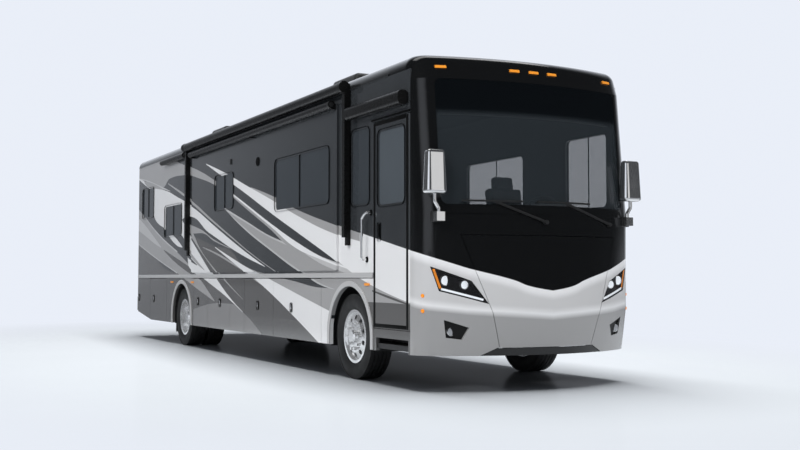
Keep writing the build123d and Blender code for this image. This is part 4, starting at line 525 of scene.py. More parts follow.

# %% [markdown]
# ## Front paint
# The front cap is black above, then pearl white, then silver grey, with the edges sagging to the middle in
# a shallow V. The grey under the crease is silver grey paint and partly painted shade, where the panel
# tilts down. The lines are read from the distance to the centre plane, and rise a little along the sides so
# that they meet the bands on the walls. The white has a painted highlight along both edges, a brighter
# white where the real panel rolls over, and the lower lip is black. An image could carry all this, but
# lines that are worked out stay sharp close up.

# %% Front paint
CAP_CORNER_X = 5.95
SIDE_RISE = 0.17
FRONT_BLACK = grey(0.006, -0.05)
# The grey under the crease is silver grey paint, and partly painted shade where the panel tilts down.
FRONT_GREY_AND_SHADE = grey(0.33, 0.015)
FRONT_WHITE = grey(0.58, 0.012)
BLACK_EDGE = [(0.0, 1.003), (0.27, 1.05), (0.42, 1.105), (0.78, 1.2), (1.02, 1.263), (1.3, 1.335)]
# Painted highlight: how far the brighter white reaches from the black edge and from the grey edge.
HIGHLIGHT_UNDER_BLACK = (0.02, 0.11)
HIGHLIGHT_OVER_GREY = (0.01, 0.10)
GREY_BLEND = 0.03
LIP_Z = (0.34, 0.4405)
LIP_HALF = (0.780, 0.574)
GREY_EDGE = [(0.0, 0.735), (0.61, 0.775), (1.08, 0.80), (1.3, 0.80)]


def front_paint():
    finish = Finish("front_paint", Specular_IOR_Level=0.2, Coat_Weight=0.8, Coat_Roughness=0.03)
    x, y, z = finish.axes()
    half = finish.math("ABSOLUTE", y)
    past_corner = finish.math("MAXIMUM", finish.math("SUBTRACT", CAP_CORNER_X, x), 0.0)
    rise = finish.math("MULTIPLY", past_corner, SIDE_RISE)
    black_line = finish.math("ADD", finish.curve(half, BLACK_EDGE), rise)
    grey_line = finish.math("ADD", finish.curve(half, GREY_EDGE), rise)
    over_black = finish.spread(finish.math("SUBTRACT", z, black_line), 0.0, 1.0, -EDGE / 2, EDGE / 2)
    above_grey = finish.math("SUBTRACT", z, grey_line)
    below_black = finish.math("SUBTRACT", black_line, z)
    over_grey = finish.spread(above_grey, 0.0, 1.0, -GREY_BLEND, GREY_BLEND)
    # Painted highlight: the white brightens towards the black above it and towards the grey below it.
    highlight_by_black = finish.spread(below_black, 1.0, 0.0, *HIGHLIGHT_UNDER_BLACK, smooth=True)
    highlight_by_grey = finish.spread(above_grey, 1.0, 0.0, *HIGHLIGHT_OVER_GREY, smooth=True)
    edges = finish.math("MAXIMUM", highlight_by_black, highlight_by_grey)
    paint = finish.mix(over_grey, FRONT_GREY_AND_SHADE, finish.mix(edges, FRONT_WHITE, WHITE))
    lip_half = finish.spread(z, LIP_HALF[0], LIP_HALF[1], LIP_Z[0], LIP_Z[1])
    under_lip = finish.math("SUBTRACT", LIP_Z[1], z)
    in_lip = finish.math("MINIMUM", finish.math("SUBTRACT", lip_half, half), under_lip)
    black = finish.math("MAXIMUM", over_black, finish.spread(in_lip, 0.0, 1.0, -0.001, 0.001))
    finish.colour(finish.mix(black, paint, FRONT_BLACK))
    finish.roughness(finish.spread(finish.noise(3.0), 0.15, 0.22))
    return finish.material


FRONT_PAINT = front_paint()
print("front paint nodes", len(FRONT_PAINT.node_tree.nodes))

# %% [markdown]
# ## The other finishes
# Glass is a dark body that lets a share of the light through, chrome and polished wheels are bare
# metal, and rubber, vinyl and plastic are rough with a fine grain that only shows in the highlights.
# Clear glass could bend the light as real panes do, but a thin pane shifts it by a hair, so a share
# of see-through is enough and leaves less noise. Each node's finish is named by its slot.

# %% Plain finishes
PRIVACY_GLASS = (0.040, 0.046, 0.052, 1.0)
PRIVACY_HAZE = (0.046, 0.053, 0.060, 1.0)
PRIVACY_SHARE = 0.94
DRIVER_SHARE = 0.24
SHADE_BAND = (2.74, 2.84)
SHADE_COLOUR = (0.003, 0.004, 0.005, 1.0)
SHADE_SHARE = 0.92
CLEAR_TONES = ((0.034, 0.041, 0.046, 1.0), (0.038, 0.046, 0.052, 1.0))
CLEAR_SHARE = 0.42
GLASS_IOR = 1.5


def grained(name, level, rough, grain=300.0, depth=0.0003, warm=0.0, spread=0.15, **values):
    finish = Finish(name, **values)
    grit = finish.noise(grain, 4.0)
    finish.colour(finish.mix(grit, grey(level * (1 - spread), warm), grey(level * (1 + spread), warm)))
    finish.roughness(finish.spread(finish.noise(grain / 20), rough - 0.06, rough + 0.06))
    finish.bump(grit, depth)
    return finish.material


def metal(name, level, rough, warm=0.0, brush=(1, 1, 1), grain=40.0, bare=1.0):
    finish = Finish(name, Metallic=bare)
    smear = finish.noise(grain, 3.0, brush)
    finish.colour(finish.mix(smear, grey(level * 0.94, warm), grey(level, warm)))
    finish.roughness(finish.spread(smear, rough * 0.7, rough * 1.3))
    return finish.material


def glass(name, colour, share):
    finish = Finish(name, Alpha=share, IOR=GLASS_IOR)
    haze = finish.noise(2.0)
    finish.colour(finish.mix(haze, colour, scaled(colour, 1.15)))
    finish.roughness(finish.spread(haze, 0.02, 0.05))
    return finish.material


def windshield_glass():
    """Clear below, with a dark shade band along the top."""
    finish = Finish("windshield_glass", IOR=GLASS_IOR)
    haze = finish.noise(2.0)
    _, _, z = finish.axes()
    band = finish.spread(z, 0.0, 1.0, *SHADE_BAND, smooth=True)
    finish.colour(finish.mix(band, finish.mix(haze, *CLEAR_TONES), SHADE_COLOUR))
    finish.roughness(finish.spread(haze, 0.02, 0.05))
    share = finish.spread(band, CLEAR_SHARE, SHADE_SHARE, 0.0, 1.0)
    finish.feed(finish.shader.inputs["Alpha"], share)
    return finish.material


def wall_glass():
    """Privacy glass on the right, clearer glass on the driver's side."""
    finish = Finish("wall_glass", IOR=GLASS_IOR)
    haze = finish.noise(2.0)
    finish.colour(finish.mix(haze, PRIVACY_GLASS, PRIVACY_HAZE))
    finish.roughness(finish.spread(haze, 0.02, 0.05))
    _, y, _ = finish.axes()
    share = finish.spread(y, PRIVACY_SHARE, DRIVER_SHARE, -0.1, 0.1)
    finish.feed(finish.shader.inputs["Alpha"], share)
    return finish.material


def plain_paint(name, colour):
    finish = Finish(name, Specular_IOR_Level=0.2, Coat_Weight=0.8, Coat_Roughness=0.04)
    flake = finish.noise(FLAKE, 2.0)
    finish.colour(finish.mix(flake, colour, scaled(colour, 0.9)))
    finish.roughness(finish.spread(finish.noise(3.0), 0.18, 0.26))
    return finish.material


def lamp(name, colour, glow, rough=0.12):
    shine = {"Emission_Strength": glow, "Emission_Color": colour}
    finish = Finish(name, Coat_Weight=1.0, Coat_Roughness=0.05, **shine)
    ribs = finish.noise(60.0, 2.0, (1.0, 1.0, 4.0))
    finish.colour(finish.mix(ribs, colour, scaled(colour, 0.8)))
    finish.roughness(finish.spread(ribs, rough, rough * 1.5))
    return finish.material


print("recipes", [recipe.__name__ for recipe in (grained, metal, glass, plain_paint, lamp)])

# %% [markdown]
# The frame says which slot each node has, and this table gives each slot its finish. Giving every
# node its own would be longer, and two chromes would drift apart. A few nodes then get a finish of
# their own, such as the windshield with its shade band.

# %% Finish of each slot
FINISHES = {
    "upper_paint": SIDE_PAINT,
    "lower_paint": SIDE_PAINT,
    "front_paint": FRONT_PAINT,
    "hatch_paint": SIDE_PAINT,
    "tinted_glass": glass("side_glass", PRIVACY_GLASS, PRIVACY_SHARE),
    "tyre": grained("tyre_rubber", 0.016, 0.62, 180.0, 0.0006),
    "polished_rim": metal("polished_rim", 0.92, 0.17, bare=0.80, grain=4.0),
    "frame_black": grained("chassis_black", 0.02, 0.45),
    "engine_iron": grained("engine_iron", 0.06, 0.5),
    "tank_metal": metal("tank_metal", 0.55, 0.3),
    "awning_black": grained("awning_vinyl", 0.006, 0.30, 500.0, 0.0002, Specular_IOR_Level=0.22),
    "chrome": metal("chrome", 0.92, 0.10, bare=0.95, grain=6.0),
    "lamp_clear": glass("lamp_clear", (0.05, 0.05, 0.055, 1.0), 0.10),
    "lamp_amber": lamp("lamp_amber", (0.85, 0.30, 0.03, 1.0), 0.25),
    "lamp_red": lamp("lamp_red", (0.45, 0.012, 0.012, 1.0), 0.05),
    "black_rubber": grained("black_rubber", 0.014, 0.55),
    "trim_plastic": grained("trim_plastic", 0.02, 0.42, 700.0, 0.0002),
    "seat_leather": grained("seat_leather", 0.05, 0.5, 260.0, 0.0008),
    "shroud_plastic": grained("shroud_plastic", 0.03, 0.4),
    "bright_rail": SIDE_PAINT,
    "floor_wood": grained("floor_wood", 0.11, 0.45, 30.0, 0.0002, 0.25),
}
slots = {part["node"]: part["material_slot"] for part in frame["record"]["subparts"]}
for name, solid in nodes.items():
    solid.data.materials.clear()
    solid.data.materials.append(FINISHES[slots[name]])
nodes["windshield"].data.materials[0] = windshield_glass()
nodes["side_windows"].data.materials[0] = wall_glass()
nodes["entry_door_glass"].data.materials[0] = glass("door_glass", (0.075, 0.086, 0.096, 1.0), PRIVACY_SHARE)
nodes["wheel_arch_flares"].data.materials[0] = plain_paint("flare_paint", PEARL)
# The belt rails get pale pearl paint all over, a painted highlight for the light that runs along the rails.
nodes["belt_rails"].data.materials[0] = plain_paint("rail_paint", PEARL)
nodes["dashboard"].data.materials[0] = grained("dash_plastic", 0.26, 0.55, warm=-0.04)
nodes["front_lamps"].data.materials[0] = grained("lamp_black", 0.006, 0.35, Specular_IOR_Level=0.2)
print("finishes", len(FINISHES), "on", len(nodes), "solids")

# %% [markdown]
# ## A kit for pieces
# Each added piece is a small mesh made in place. Boxes get rounded edges, bars are cones or
# cylinders, and round things are turned from a profile. Modifiers could do the same by steps, but a
# mesh that is built finished is easier to measure.

# %% Piece kit
made = []


def piece(name, mesh, finish, body="coach", sharp=35.0):
    """Turn a mesh into an object with one finish that rides a body."""
    bmesh.ops.recalc_face_normals(mesh, faces=mesh.faces)
    data = bpy.data.meshes.new(name)
    mesh.to_mesh(data)
    mesh.free()
    data.shade_smooth()
    data.set_sharp_from_angle(angle=math.radians(sharp))
    data.materials.append(finish)
    thing = bpy.data.objects.new(name, data)
    scene.collection.objects.link(thing)
    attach(thing, body)
    made.append(name)
    return thing


def block(mesh, centre, size, radius, turn=(0.0, 0.0, 0.0), segments=3):
    """A box with rounded edges."""
    turned_by = Euler([math.radians(angle) for angle in turn]).to_matrix().to_4x4()
    place = Matrix.Translation(centre) @ turned_by @ Matrix.Diagonal((*size, 1.0))
    verts = bmesh.ops.create_cube(mesh, size=1.0, matrix=place)["verts"]
    edges = list({edge for vert in verts for edge in vert.link_edges})
    rounding = {"affect": "EDGES", "segments": segments, "profile": 0.5, "material": -1}
    bmesh.ops.bevel(mesh, geom=edges, offset=radius, **rounding)


def rod(mesh, start, end, radius, end_radius=None, sides=24):
    """A round bar, tapered where a second radius is given."""
    start, end = Vector(start), Vector(end)
    run = end - start
    place = Matrix.Translation((start + end) / 2) @ run.to_track_quat("Z", "Y").to_matrix().to_4x4()
    sizes = {"radius1": radius, "radius2": end_radius or radius, "depth": run.length}
    bmesh.ops.create_cone(mesh, cap_ends=True, segments=sides, matrix=place, **sizes)


def turned(mesh, centre, axis, profile, sides=40):
    """A profile of (radius, distance along) points, turned about an axis."""
    centre, axis = Vector(centre), Vector(axis).normalized()
    across = axis.orthogonal().normalized()
    verts = [mesh.verts.new(centre + across * radius + axis * along) for radius, along in profile]
    edges = [mesh.edges.new(pair) for pair in zip(verts, verts[1:])]
    whole = {"angle": 2 * math.pi, "steps": sides, "use_merge": True}
    bmesh.ops.spin(mesh, geom=verts + edges, cent=centre, axis=axis, **whole)
    bmesh.ops.remove_doubles(mesh, verts=mesh.verts, dist=1e-5)


print("piece kit", [maker.__name__ for maker in (block, rod, turned)])

# %% [markdown]
# ## Flat frames
# Window frames and latch cups are flat rings with rounded corners. Two outlines could be bridged, but
# one outline that is inset and then raised keeps an even width all round.


def rounded_loop(x0, x1, z0, z1, radius, steps=6):
    """Points of a rectangle with rounded corners."""
    corners = [(x1 - radius, z1 - radius), (x0 + radius, z1 - radius)]
    corners += [(x0 + radius, z0 + radius), (x1 - radius, z0 + radius)]
    points = []
    for quarter, (x, z) in enumerate(corners):
        for step in range(steps + 1):
            angle = math.pi / 2 * (quarter + step / steps)
            points.append((x + radius * math.cos(angle), z + radius * math.sin(angle)))
    return points


def bezel(mesh, opening, radius, width, back, front):
    """A flat frame on a side wall, from the outline inward by width, between two values of y."""
    verts = [mesh.verts.new((x, back, z)) for x, z in rounded_loop(*opening, radius)]
    panel = mesh.faces.new(verts)
    even = {"use_boundary": True, "use_even_offset": True}
    ring = bmesh.ops.inset_region(mesh, faces=[panel], thickness=width, **even)["faces"]
    bmesh.ops.delete(mesh, geom=[panel], context="FACES_ONLY")
    raised = bmesh.ops.extrude_face_region(mesh, geom=ring)["geom"]
    moved = [item for item in raised if isinstance(item, bmesh.types.BMVert)]
    bmesh.ops.translate(mesh, verts=moved, vec=(0.0, front - back, 0.0))


print("points of a frame", len(rounded_loop(0.0, 1.0, 0.0, 1.0, 0.1)))

# %% [markdown]
# ## The skin of the front cap
# The cap is bowed in plan, leans back with height and turns round a tight corner into the sides. Lamps
# and visor have to follow it. They could be shrunk onto the mesh, but the same few levels that shape
# the solid give its skin as a formula, which is exact and quick.

# %% Front skin
SIDE_Y = 1.29
CAP_CORNER = 0.25
CAP_LEVELS = [
    # height, nose, radius of the bow
    (0.36, 6.075, 2.05),
    (0.80, 6.155, 2.05),
    (1.80, 6.085, 2.60),
    (3.14, 5.850, 3.90),
    (3.40, 5.755, 3.90),
]


def bowed(nose, bow, y):
    """X of one level of the cap at a distance from the middle."""
    centre_y = SIDE_Y - CAP_CORNER
    if y <= centre_y * bow / (bow - CAP_CORNER):
        return nose - bow + math.sqrt(bow**2 - y**2)
    centre_x = nose - bow + math.sqrt((bow - CAP_CORNER) ** 2 - centre_y**2)
    return centre_x + math.sqrt(CAP_CORNER**2 - (y - centre_y) ** 2)


def cap_x(y, z):
    """X of the front cap's skin."""
    for (z0, nose0, bow0), (z1, nose1, bow1) in zip(CAP_LEVELS, CAP_LEVELS[1:]):
        if z <= z1:
            share = (z - z0) / (z1 - z0)
            return (1 - share) * bowed(nose0, bow0, abs(y)) + share * bowed(nose1, bow1, abs(y))
    return CAP_LEVELS[-1][1]


def cap_patch(mesh, corners, inset, thick, side=1, columns=12, rows=2):
    """A plate that follows the cap between four (y, z) corners, from the lower inner one round."""
    verts = bmesh.ops.create_grid(mesh, x_segments=columns, y_segments=rows, size=0.5)["verts"]
    first, second, third, fourth = (Vector(corner) for corner in corners)
    for vert in verts:
        share, rise = vert.co.x + 0.5, vert.co.y + 0.5
        y, z = first.lerp(second, share).lerp(fourth.lerp(third, share), rise)
        vert.co = (cap_x(y, z) - inset, side * y, z)
    faces = list({face for vert in verts for face in vert.link_faces})
    raised = bmesh.ops.extrude_face_region(mesh, geom=faces)["geom"]
    moved = [item for item in raised if isinstance(item, bmesh.types.BMVert)]
    bmesh.ops.translate(mesh, verts=moved, vec=(-thick, 0.0, 0.0))


print("cap nose at the crease", round(cap_x(0.0, 0.8), 3))

# %% [markdown]
# ## Windows and doors
# Every window has a black frame that stands 12 mm proud of the wall, and the sliding ones a post.
# Frames ride with the wall, the slide-out or the door that they are fixed to. A swept curve could
# draw a frame too, but an inset outline gives flat faces and even width with one call.

# %% Window frames
SLIDE_FACE = 1.3183
WINDOW_RADIUS = 0.06
FRAME_OVER, FRAME_WIDTH, FRAME_PROUD = 0.022, 0.042, 0.012
WINDOWS = [
    # body, side, face, opening, posts
    ("slide_out", -1, SLIDE_FACE, (1.69, 3.485, 2.02, 2.67), (2.543,)),
    ("slide_out", -1, SLIDE_FACE, (-0.96, -0.09, 2.17, 2.67), (-0.50,)),
    ("coach", -1, SIDE_Y, (4.085, 4.535, 1.945, 2.77), ()),
    ("coach", -1, SIDE_Y, (-4.04, -2.945, 1.87, 2.39), (-3.49,)),
    ("coach", -1, SIDE_Y, (-5.68, -4.85, 2.275, 2.805), (-5.265,)),
    ("entry_door", -1, SIDE_Y, (4.775, 5.38, 1.905, 2.69), ()),
    ("coach", 1, SIDE_Y, (4.62, 5.40, 1.93, 2.75), (5.01,)),
    ("coach", 1, SIDE_Y, (2.30, 3.70, 2.02, 2.67), (3.0,)),
    ("coach", 1, SIDE_Y, (-1.50, -0.40, 2.02, 2.67), (-0.95,)),
    ("coach", 1, SIDE_Y, (-5.20, -4.10, 2.02, 2.67), (-4.65,)),
]
FRAME_BLACK = grained("frame_black", 0.004, 0.5, 400.0, 0.0001, Specular_IOR_Level=0.06)
for number, (body, side, face, (x0, x1, z0, z1), posts) in enumerate(WINDOWS):
    mesh = bmesh.new()
    outline = (x0 - FRAME_OVER, x1 + FRAME_OVER, z0 - FRAME_OVER, z1 + FRAME_OVER)
    front = side * (face + FRAME_PROUD)
    bezel(mesh, outline, WINDOW_RADIUS + FRAME_OVER, FRAME_WIDTH, side * (face - FRAME_PROUD), front)
    for x in posts:
        block(mesh, (x, side * (face - 0.002), (z0 + z1) / 2), (0.014, 0.010, z1 - z0), 0.003)
    piece(f"window_frame_{number}", mesh, FRAME_BLACK, body)
print("window frames", len(WINDOWS))

# %% [markdown]
# ## Door trim
# The entry door has a broad black edge on all four sides, a drip rail over it, and a paddle handle
# in a black cup with a key lock. The grab handle beside it stands on round feet. The edge could be
# painted, but a strip a few millimetres thick catches the light along its rim, as rubber does.

# %% Door trim
DOOR_X = (4.655, 5.475)
DOOR_Z = (0.597, 2.80)
DOOR_EDGE = 0.044
DOOR_EDGE_THICK = 0.006
DRIP_RAIL_Z = 2.826
PULL = (4.79, 1.62)
PULL_HALF = (0.045, 0.10)
CHROME = FINISHES["chrome"]

mesh = bmesh.new()
middle = sum(DOOR_Z) / 2
for x in (DOOR_X[0] + 0.022, DOOR_X[1] - 0.028):
    height = DOOR_Z[1] - DOOR_Z[0] - 0.02
    block(mesh, (x, -SIDE_Y, middle), (DOOR_EDGE, DOOR_EDGE_THICK, height), 0.002)
for z in (DOOR_Z[0] + 0.030, DOOR_Z[1] - 0.022):
    block(mesh, (sum(DOOR_X) / 2 - 0.003, -SIDE_Y, z), (0.730, DOOR_EDGE_THICK, 0.040), 0.002)
piece("door_edge_rubber", mesh, FRAME_BLACK, "entry_door")

mesh = bmesh.new()
block(mesh, (5.06, -SIDE_Y - 0.006, DRIP_RAIL_Z), (0.90, 0.016, 0.020), 0.005)
piece("drip_rail", mesh, FRAME_BLACK)

mesh = bmesh.new()
cup = [PULL[axis] + way * PULL_HALF[axis] for axis in (0, 1) for way in (-1, 1)]
bezel(mesh, cup, 0.018, 0.014, -SIDE_Y + 0.004, -SIDE_Y - 0.006)
block(mesh, (PULL[0], -SIDE_Y + 0.016, PULL[1]), (0.066, 0.006, 0.176), 0.002)
block(mesh, (PULL[0], -SIDE_Y - 0.003, PULL[1] + 0.01), (0.028, 0.014, 0.14), 0.005)
piece("door_pull", mesh, FRAME_BLACK, "entry_door")
mesh = bmesh.new()
key_place = (PULL[0], -SIDE_Y - 0.010, PULL[1] - 0.080)
turned(mesh, key_place, (0, -1, 0), [(0, 0.003), (0.008, 0.003), (0.011, 0.0), (0.011, -0.014)])
piece("door_key_lock", mesh, CHROME, "entry_door")

GRAB_FEET = [(4.59, 1.835), (4.49, 1.33)]
FOOT = [(0.0, 0.016), (0.020, 0.016), (0.030, 0.010), (0.034, 0.002), (0.034, 0.0)]
mesh = bmesh.new()
for x, z in GRAB_FEET:
    turned(mesh, (x, -SIDE_Y, z), (0, -1, 0), FOOT, 32)
piece("grab_handle_feet", mesh, FRAME_BLACK)
print("door width", round(DOOR_X[1] - DOOR_X[0], 3), "m")

# %% [markdown]
# ## Latches
# The baggage doors each have a chrome paddle in a black cup. They are all the same bought part, so
# one loop makes them. One mesh could be shared by all, but each has to ride its own door.

# %% Latches
LATCHES = [
    # body, side, x
    ("coach", -1, -5.90),
    ("baggage_door_right_rear", -1, -4.78),
    ("baggage_door_right_short", -1, -1.93),
    ("baggage_door_right_middle", -1, -0.77),
    ("baggage_door_right_centre", -1, 0.94),
    ("baggage_door_right_front", -1, 2.22),
    ("baggage_door_left_rear", 1, -4.78),
    ("baggage_door_left_centre", 1, 0.94),
    ("baggage_door_left_front", 1, 2.22),
]
LATCH_Z = 0.755
LATCH_HALF = (0.042, 0.064)
for number, (body, side, x) in enumerate(LATCHES):
    mesh = bmesh.new()
    oval = (x - LATCH_HALF[0], x + LATCH_HALF[0], LATCH_Z - LATCH_HALF[1], LATCH_Z + LATCH_HALF[1])
    bezel(mesh, oval, 0.030, 0.012, side * (SIDE_Y - 0.002), side * (SIDE_Y + 0.008))
    block(mesh, (x, side * (SIDE_Y + 0.0005), LATCH_Z), (0.064, 0.003, 0.108), 0.001)
    piece(f"latch_cup_{number}", mesh, FRAME_BLACK, body)
    mesh = bmesh.new()
    block(mesh, (x, side * (SIDE_Y + 0.006), LATCH_Z + 0.010), (0.026, 0.010, 0.060), 0.004)
    rod(mesh, (x, side * SIDE_Y, LATCH_Z - 0.034), (x, side * (SIDE_Y + 0.007), LATCH_Z - 0.034), 0.009)
    piece(f"latch_paddle_{number}", mesh, CHROME, body)
print("latches", len(LATCHES))

# %% [markdown]
# ## Lamps
# Behind each clear cover sit two projectors with bright rings, a white running light along the lower
# edge and an amber strip down the outer one. The fog lamps are round, in black pockets, and two amber
# buttons mark each corner. Lamps in the scene could shine here, but by day a lens only glows a
# little, so a weak glow in the finish is enough.

# %% Front lamps
PROJECTORS = [(1.060, 1.105, 0.050), (0.893, 1.062, 0.044)]
RUNNING_STRIP = [(0.735, 0.904), (1.106, 1.010), (1.101, 1.030), (0.730, 0.924)]
AMBER_STRIP = [(1.105, 1.029), (1.123, 1.023), (1.181, 1.216), (1.164, 1.221)]
FOG = (1.005, 0.600, 0.042)
MARKER_X = 5.705
MARKER_Y = 1.253
MARKER_HEIGHTS = (0.953, 0.802)
MARKER_DOME = [(0.0, 0.012), (0.012, 0.010), (0.020, 0.003), (0.022, -0.004)]
LENS_BACK = 0.015
WHITE_LIGHT = lamp("white_light", (0.88, 0.92, 0.96, 1.0), 0.55)
AMBER_LIGHT = lamp("amber_light", (0.90, 0.27, 0.01, 1.0), 0.30)
FOG_GLASS = lamp("fog_glass", (0.34, 0.35, 0.37, 1.0), 0.06)
for label, side in (("right", -1), ("left", 1)):
    rings, domes, fog_domes = bmesh.new(), bmesh.new(), bmesh.new()
    places = [(domes, y, z, r, cap_x(y + r, z) - LENS_BACK) for y, z, r in PROJECTORS]
    places.append((fog_domes, *FOG, cap_x(FOG[0] + FOG[2], FOG[1])))
    for lens, y, z, radius, x in places:
        lip = [(radius - 0.007, 0.0), (radius - 0.004, 0.006)]
        lip += [(radius + 0.001, 0.004), (radius + 0.002, -0.02)]
        turned(rings, (x, side * y, z), (1, 0, 0), lip)
        bulge = [(0.0, 0.007), (radius * 0.45, 0.006), (radius * 0.75, 0.003), (radius - 0.006, 0.0005)]
        turned(lens, (x, side * y, z), (1, 0, 0), bulge)
    piece(f"lamp_rings_{label}", rings, CHROME)
    piece(f"lamp_domes_{label}", domes, WHITE_LIGHT)
    piece(f"fog_domes_{label}", fog_domes, FOG_GLASS)
    strip = bmesh.new()
    cap_patch(strip, RUNNING_STRIP, 0.011, 0.012, side)
    piece(f"running_light_{label}", strip, WHITE_LIGHT)
    strip = bmesh.new()
    cap_patch(strip, AMBER_STRIP, 0.010, 0.010, side, 3, 8)
    piece(f"turn_light_{label}", strip, AMBER_LIGHT)
    buttons = bmesh.new()
    for z in MARKER_HEIGHTS:
        turned(buttons, (MARKER_X, side * MARKER_Y, z), (0.52, side * 0.85, 0), MARKER_DOME, 24)
    piece(f"cap_markers_{label}", buttons, AMBER_LIGHT)
print("lamp pieces", sum(("lamp" in name or "light" in name) for name in made))

# %% [markdown]
# ## Fittings on the outside
# Mirror glass faces back, awnings have end caps, and the slide-out has a small speaker and a sensor.
# These are bought parts that are screwed on, so each is a piece of its own that rides its wall. They
# could be solids in the frame, but nothing is mounted to them and nothing runs into them.

# %% Mirrors and awnings
TRIM = FINISHES["trim_plastic"]
MIRROR_GLASS = metal("mirror_glass", 0.55, 0.03)
MIRROR_PLACE = (5.7925, 1.202, 2.170)
MIRROR_SIZE = (0.006, 0.165, 0.345)
MIRROR_LEAN = 3.0
ARM_FOOT_PLACE = (5.812, 1.157, 1.735)
for label, side in (("right", -1), ("left", 1)):
    mesh = bmesh.new()
    x, y, z = MIRROR_PLACE
    block(mesh, (x, side * y, z), MIRROR_SIZE, 0.0025, (0.0, MIRROR_LEAN, 0.0))
    piece(f"mirror_glass_{label}", mesh, MIRROR_GLASS)
    mesh = bmesh.new()
    x, y, z = ARM_FOOT_PLACE
    block(mesh, (x, side * y, z), (0.055, 0.110, 0.110), 0.012)
    piece(f"mirror_foot_{label}", mesh, TRIM)

SPEAKER = (1.0, -SLIDE_FACE, 2.73)
SPEAKER_RIM = [(0, 0.010), (0.03, 0.011), (0.05, 0.016), (0.06, 0.012), (0.064, 0.0)]
AWNING_TUBES = [
    # body, ends, y, z, radius
    ("coach", (-2.47, 4.015), -1.370, 3.285, 0.064),
    ("slide_out", (-2.16, 3.69), -1.373, 3.135, 0.045),
    ("coach", (-4.05, -2.59), -1.350, 3.180, 0.045),
]
for number, (body, ends, y, z, radius) in enumerate(AWNING_TUBES):
    mesh = bmesh.new()
    for x, way in zip(ends, (-1, 1)):
        plug = [(0.0, 0.004), (radius * 0.5, 0.004), (radius * 0.62, 0.0), (radius * 0.97, -0.003)]
        turned(mesh, (x, y, z), (way, 0, 0), plug + [(radius * 1.04, -0.012), (radius * 1.04, -0.045)])
    piece(f"awning_caps_{number}", mesh, TRIM, body)

mesh = bmesh.new()
turned(mesh, SPEAKER, (0, -1, 0), SPEAKER_RIM)
for step in range(-2, 3):
    bar = (SPEAKER[0], SPEAKER[1] - 0.013, SPEAKER[2] + step * 0.014)
    block(mesh, bar, (0.07, 0.005, 0.005), 0.002)
piece("outside_speaker", mesh, FRAME_BLACK, "slide_out")
mesh = bmesh.new()
block(mesh, (-0.19, -SLIDE_FACE - 0.007, 2.84), (0.050, 0.018, 0.080), 0.007)
piece("sensor_case", mesh, TRIM, "slide_out")
print("pieces so far", len(made))

# %% [markdown]
# ## Wheels and wheel wells
# Black liners close the wheel wells, wide enough for the steered front wheels. Fine blocks along
# both shoulders give the tyres their tread. The blocks could be a bump in the finish, but a bump
# leaves the edge of the tyre smooth, and here that edge is seen against the floor.

# %% Wheel wells and tread
HUB_Z = 0.476
WELL_ROOF = 1.055
WELL_START = -12.0
WELL_SWEEP = 204.0
WELL_INNER = 0.66
WELL_DEPTH = 0.585
WELLS = [("front", 4.03, 0.640), ("rear", -2.90, 0.590)]
for label, x, radius in WELLS:
    mesh = bmesh.new()
    for side in (-1, 1):
        verts = bmesh.ops.create_grid(mesh, x_segments=36, y_segments=4, size=0.5)["verts"]
        for vert in verts:
            angle = math.radians(WELL_START + (vert.co.x + 0.5) * WELL_SWEEP)
            depth = WELL_INNER + (vert.co.y + 0.5) * WELL_DEPTH
            height = min(HUB_Z + radius * math.sin(angle), WELL_ROOF)
            vert.co = (x + radius * math.cos(angle), side * depth, height)
        faces = list({face for vert in verts for face in vert.link_faces})
        bmesh.ops.solidify(mesh, geom=faces, thickness=0.004)
    piece(f"wheel_wells_{label}", mesh, FINISHES["black_rubber"])

TYRE_R = 0.476
TYRE_HALF = 0.1357
CLEATS = 84
CLEAT_SIZE = (0.0315, 0.030, 0.014)
CLEAT_OUT = 0.112
CLEAT_SUNK = 0.0075
for end, x, _ in WELLS:
    for hand in ("left", "right"):
        low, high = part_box(f"tyre_{end}_{hand}")
        middles = sorted({round(low.y + TYRE_HALF, 4), round(high.y - TYRE_HALF, 4)})
        mesh = bmesh.new()
        for y in middles if end == "rear" else middles[:1]:
            for step in range(CLEATS):
                angle = 360.0 * step / CLEATS
                for way in (-1, 1):
                    reach = TYRE_R - CLEAT_SUNK
                    place = (
                        x + reach * math.sin(math.radians(angle)),
                        y + way * CLEAT_OUT,
                        HUB_Z + reach * math.cos(math.radians(angle)),
                    )
                    block(mesh, place, CLEAT_SIZE, 0.002, (0.0, angle, 0.0), 1)
        piece(f"cleats_{end}_{hand}", mesh, FINISHES["tyre"], f"wheel_{end}_{hand}")
print("cleats on", CLEATS, "places a side")

# %% [markdown]
# ## Roof and tail
# The hoods of the two air conditioners breathe through louvres at both ends, and a small camera looks
# back from the top of the tail. Slots could be cut into the hood, but slats laid on its slope look
# the same from the ground and leave the solid whole.

# %% Roof and tail
AIR_CONDITIONERS = [(2.40, -0.35), (-3.0, -0.35)]
AC_HALF = 0.45
AC_SLOPE = math.tan(math.radians(12.0))
ROOF_TOP = 3.40
LOUVRES = 6
LOUVRE_STEP = 0.032
LOUVRE_TILT = 20.0
CAMERA_LENS = [(0, 0.008), (0.012, 0.007), (0.020, 0.0), (0.020, -0.01)]
mesh = bmesh.new()
for x, y in AIR_CONDITIONERS:
    for step in range(LOUVRES):
        height = 0.06 + step * LOUVRE_STEP
        for way in (-1, 1):
            edge = x + way * (AC_HALF - height * AC_SLOPE)
            slat = (edge, y, ROOF_TOP + height)
            block(mesh, slat, (0.016, 0.40, 0.012), 0.004, (0.0, way * LOUVRE_TILT, 0.0))
piece("roof_louvres", mesh, FRAME_BLACK)
mesh = bmesh.new()
block(mesh, (-6.135, 0.0, 3.12), (0.030, 0.110, 0.070), 0.012)
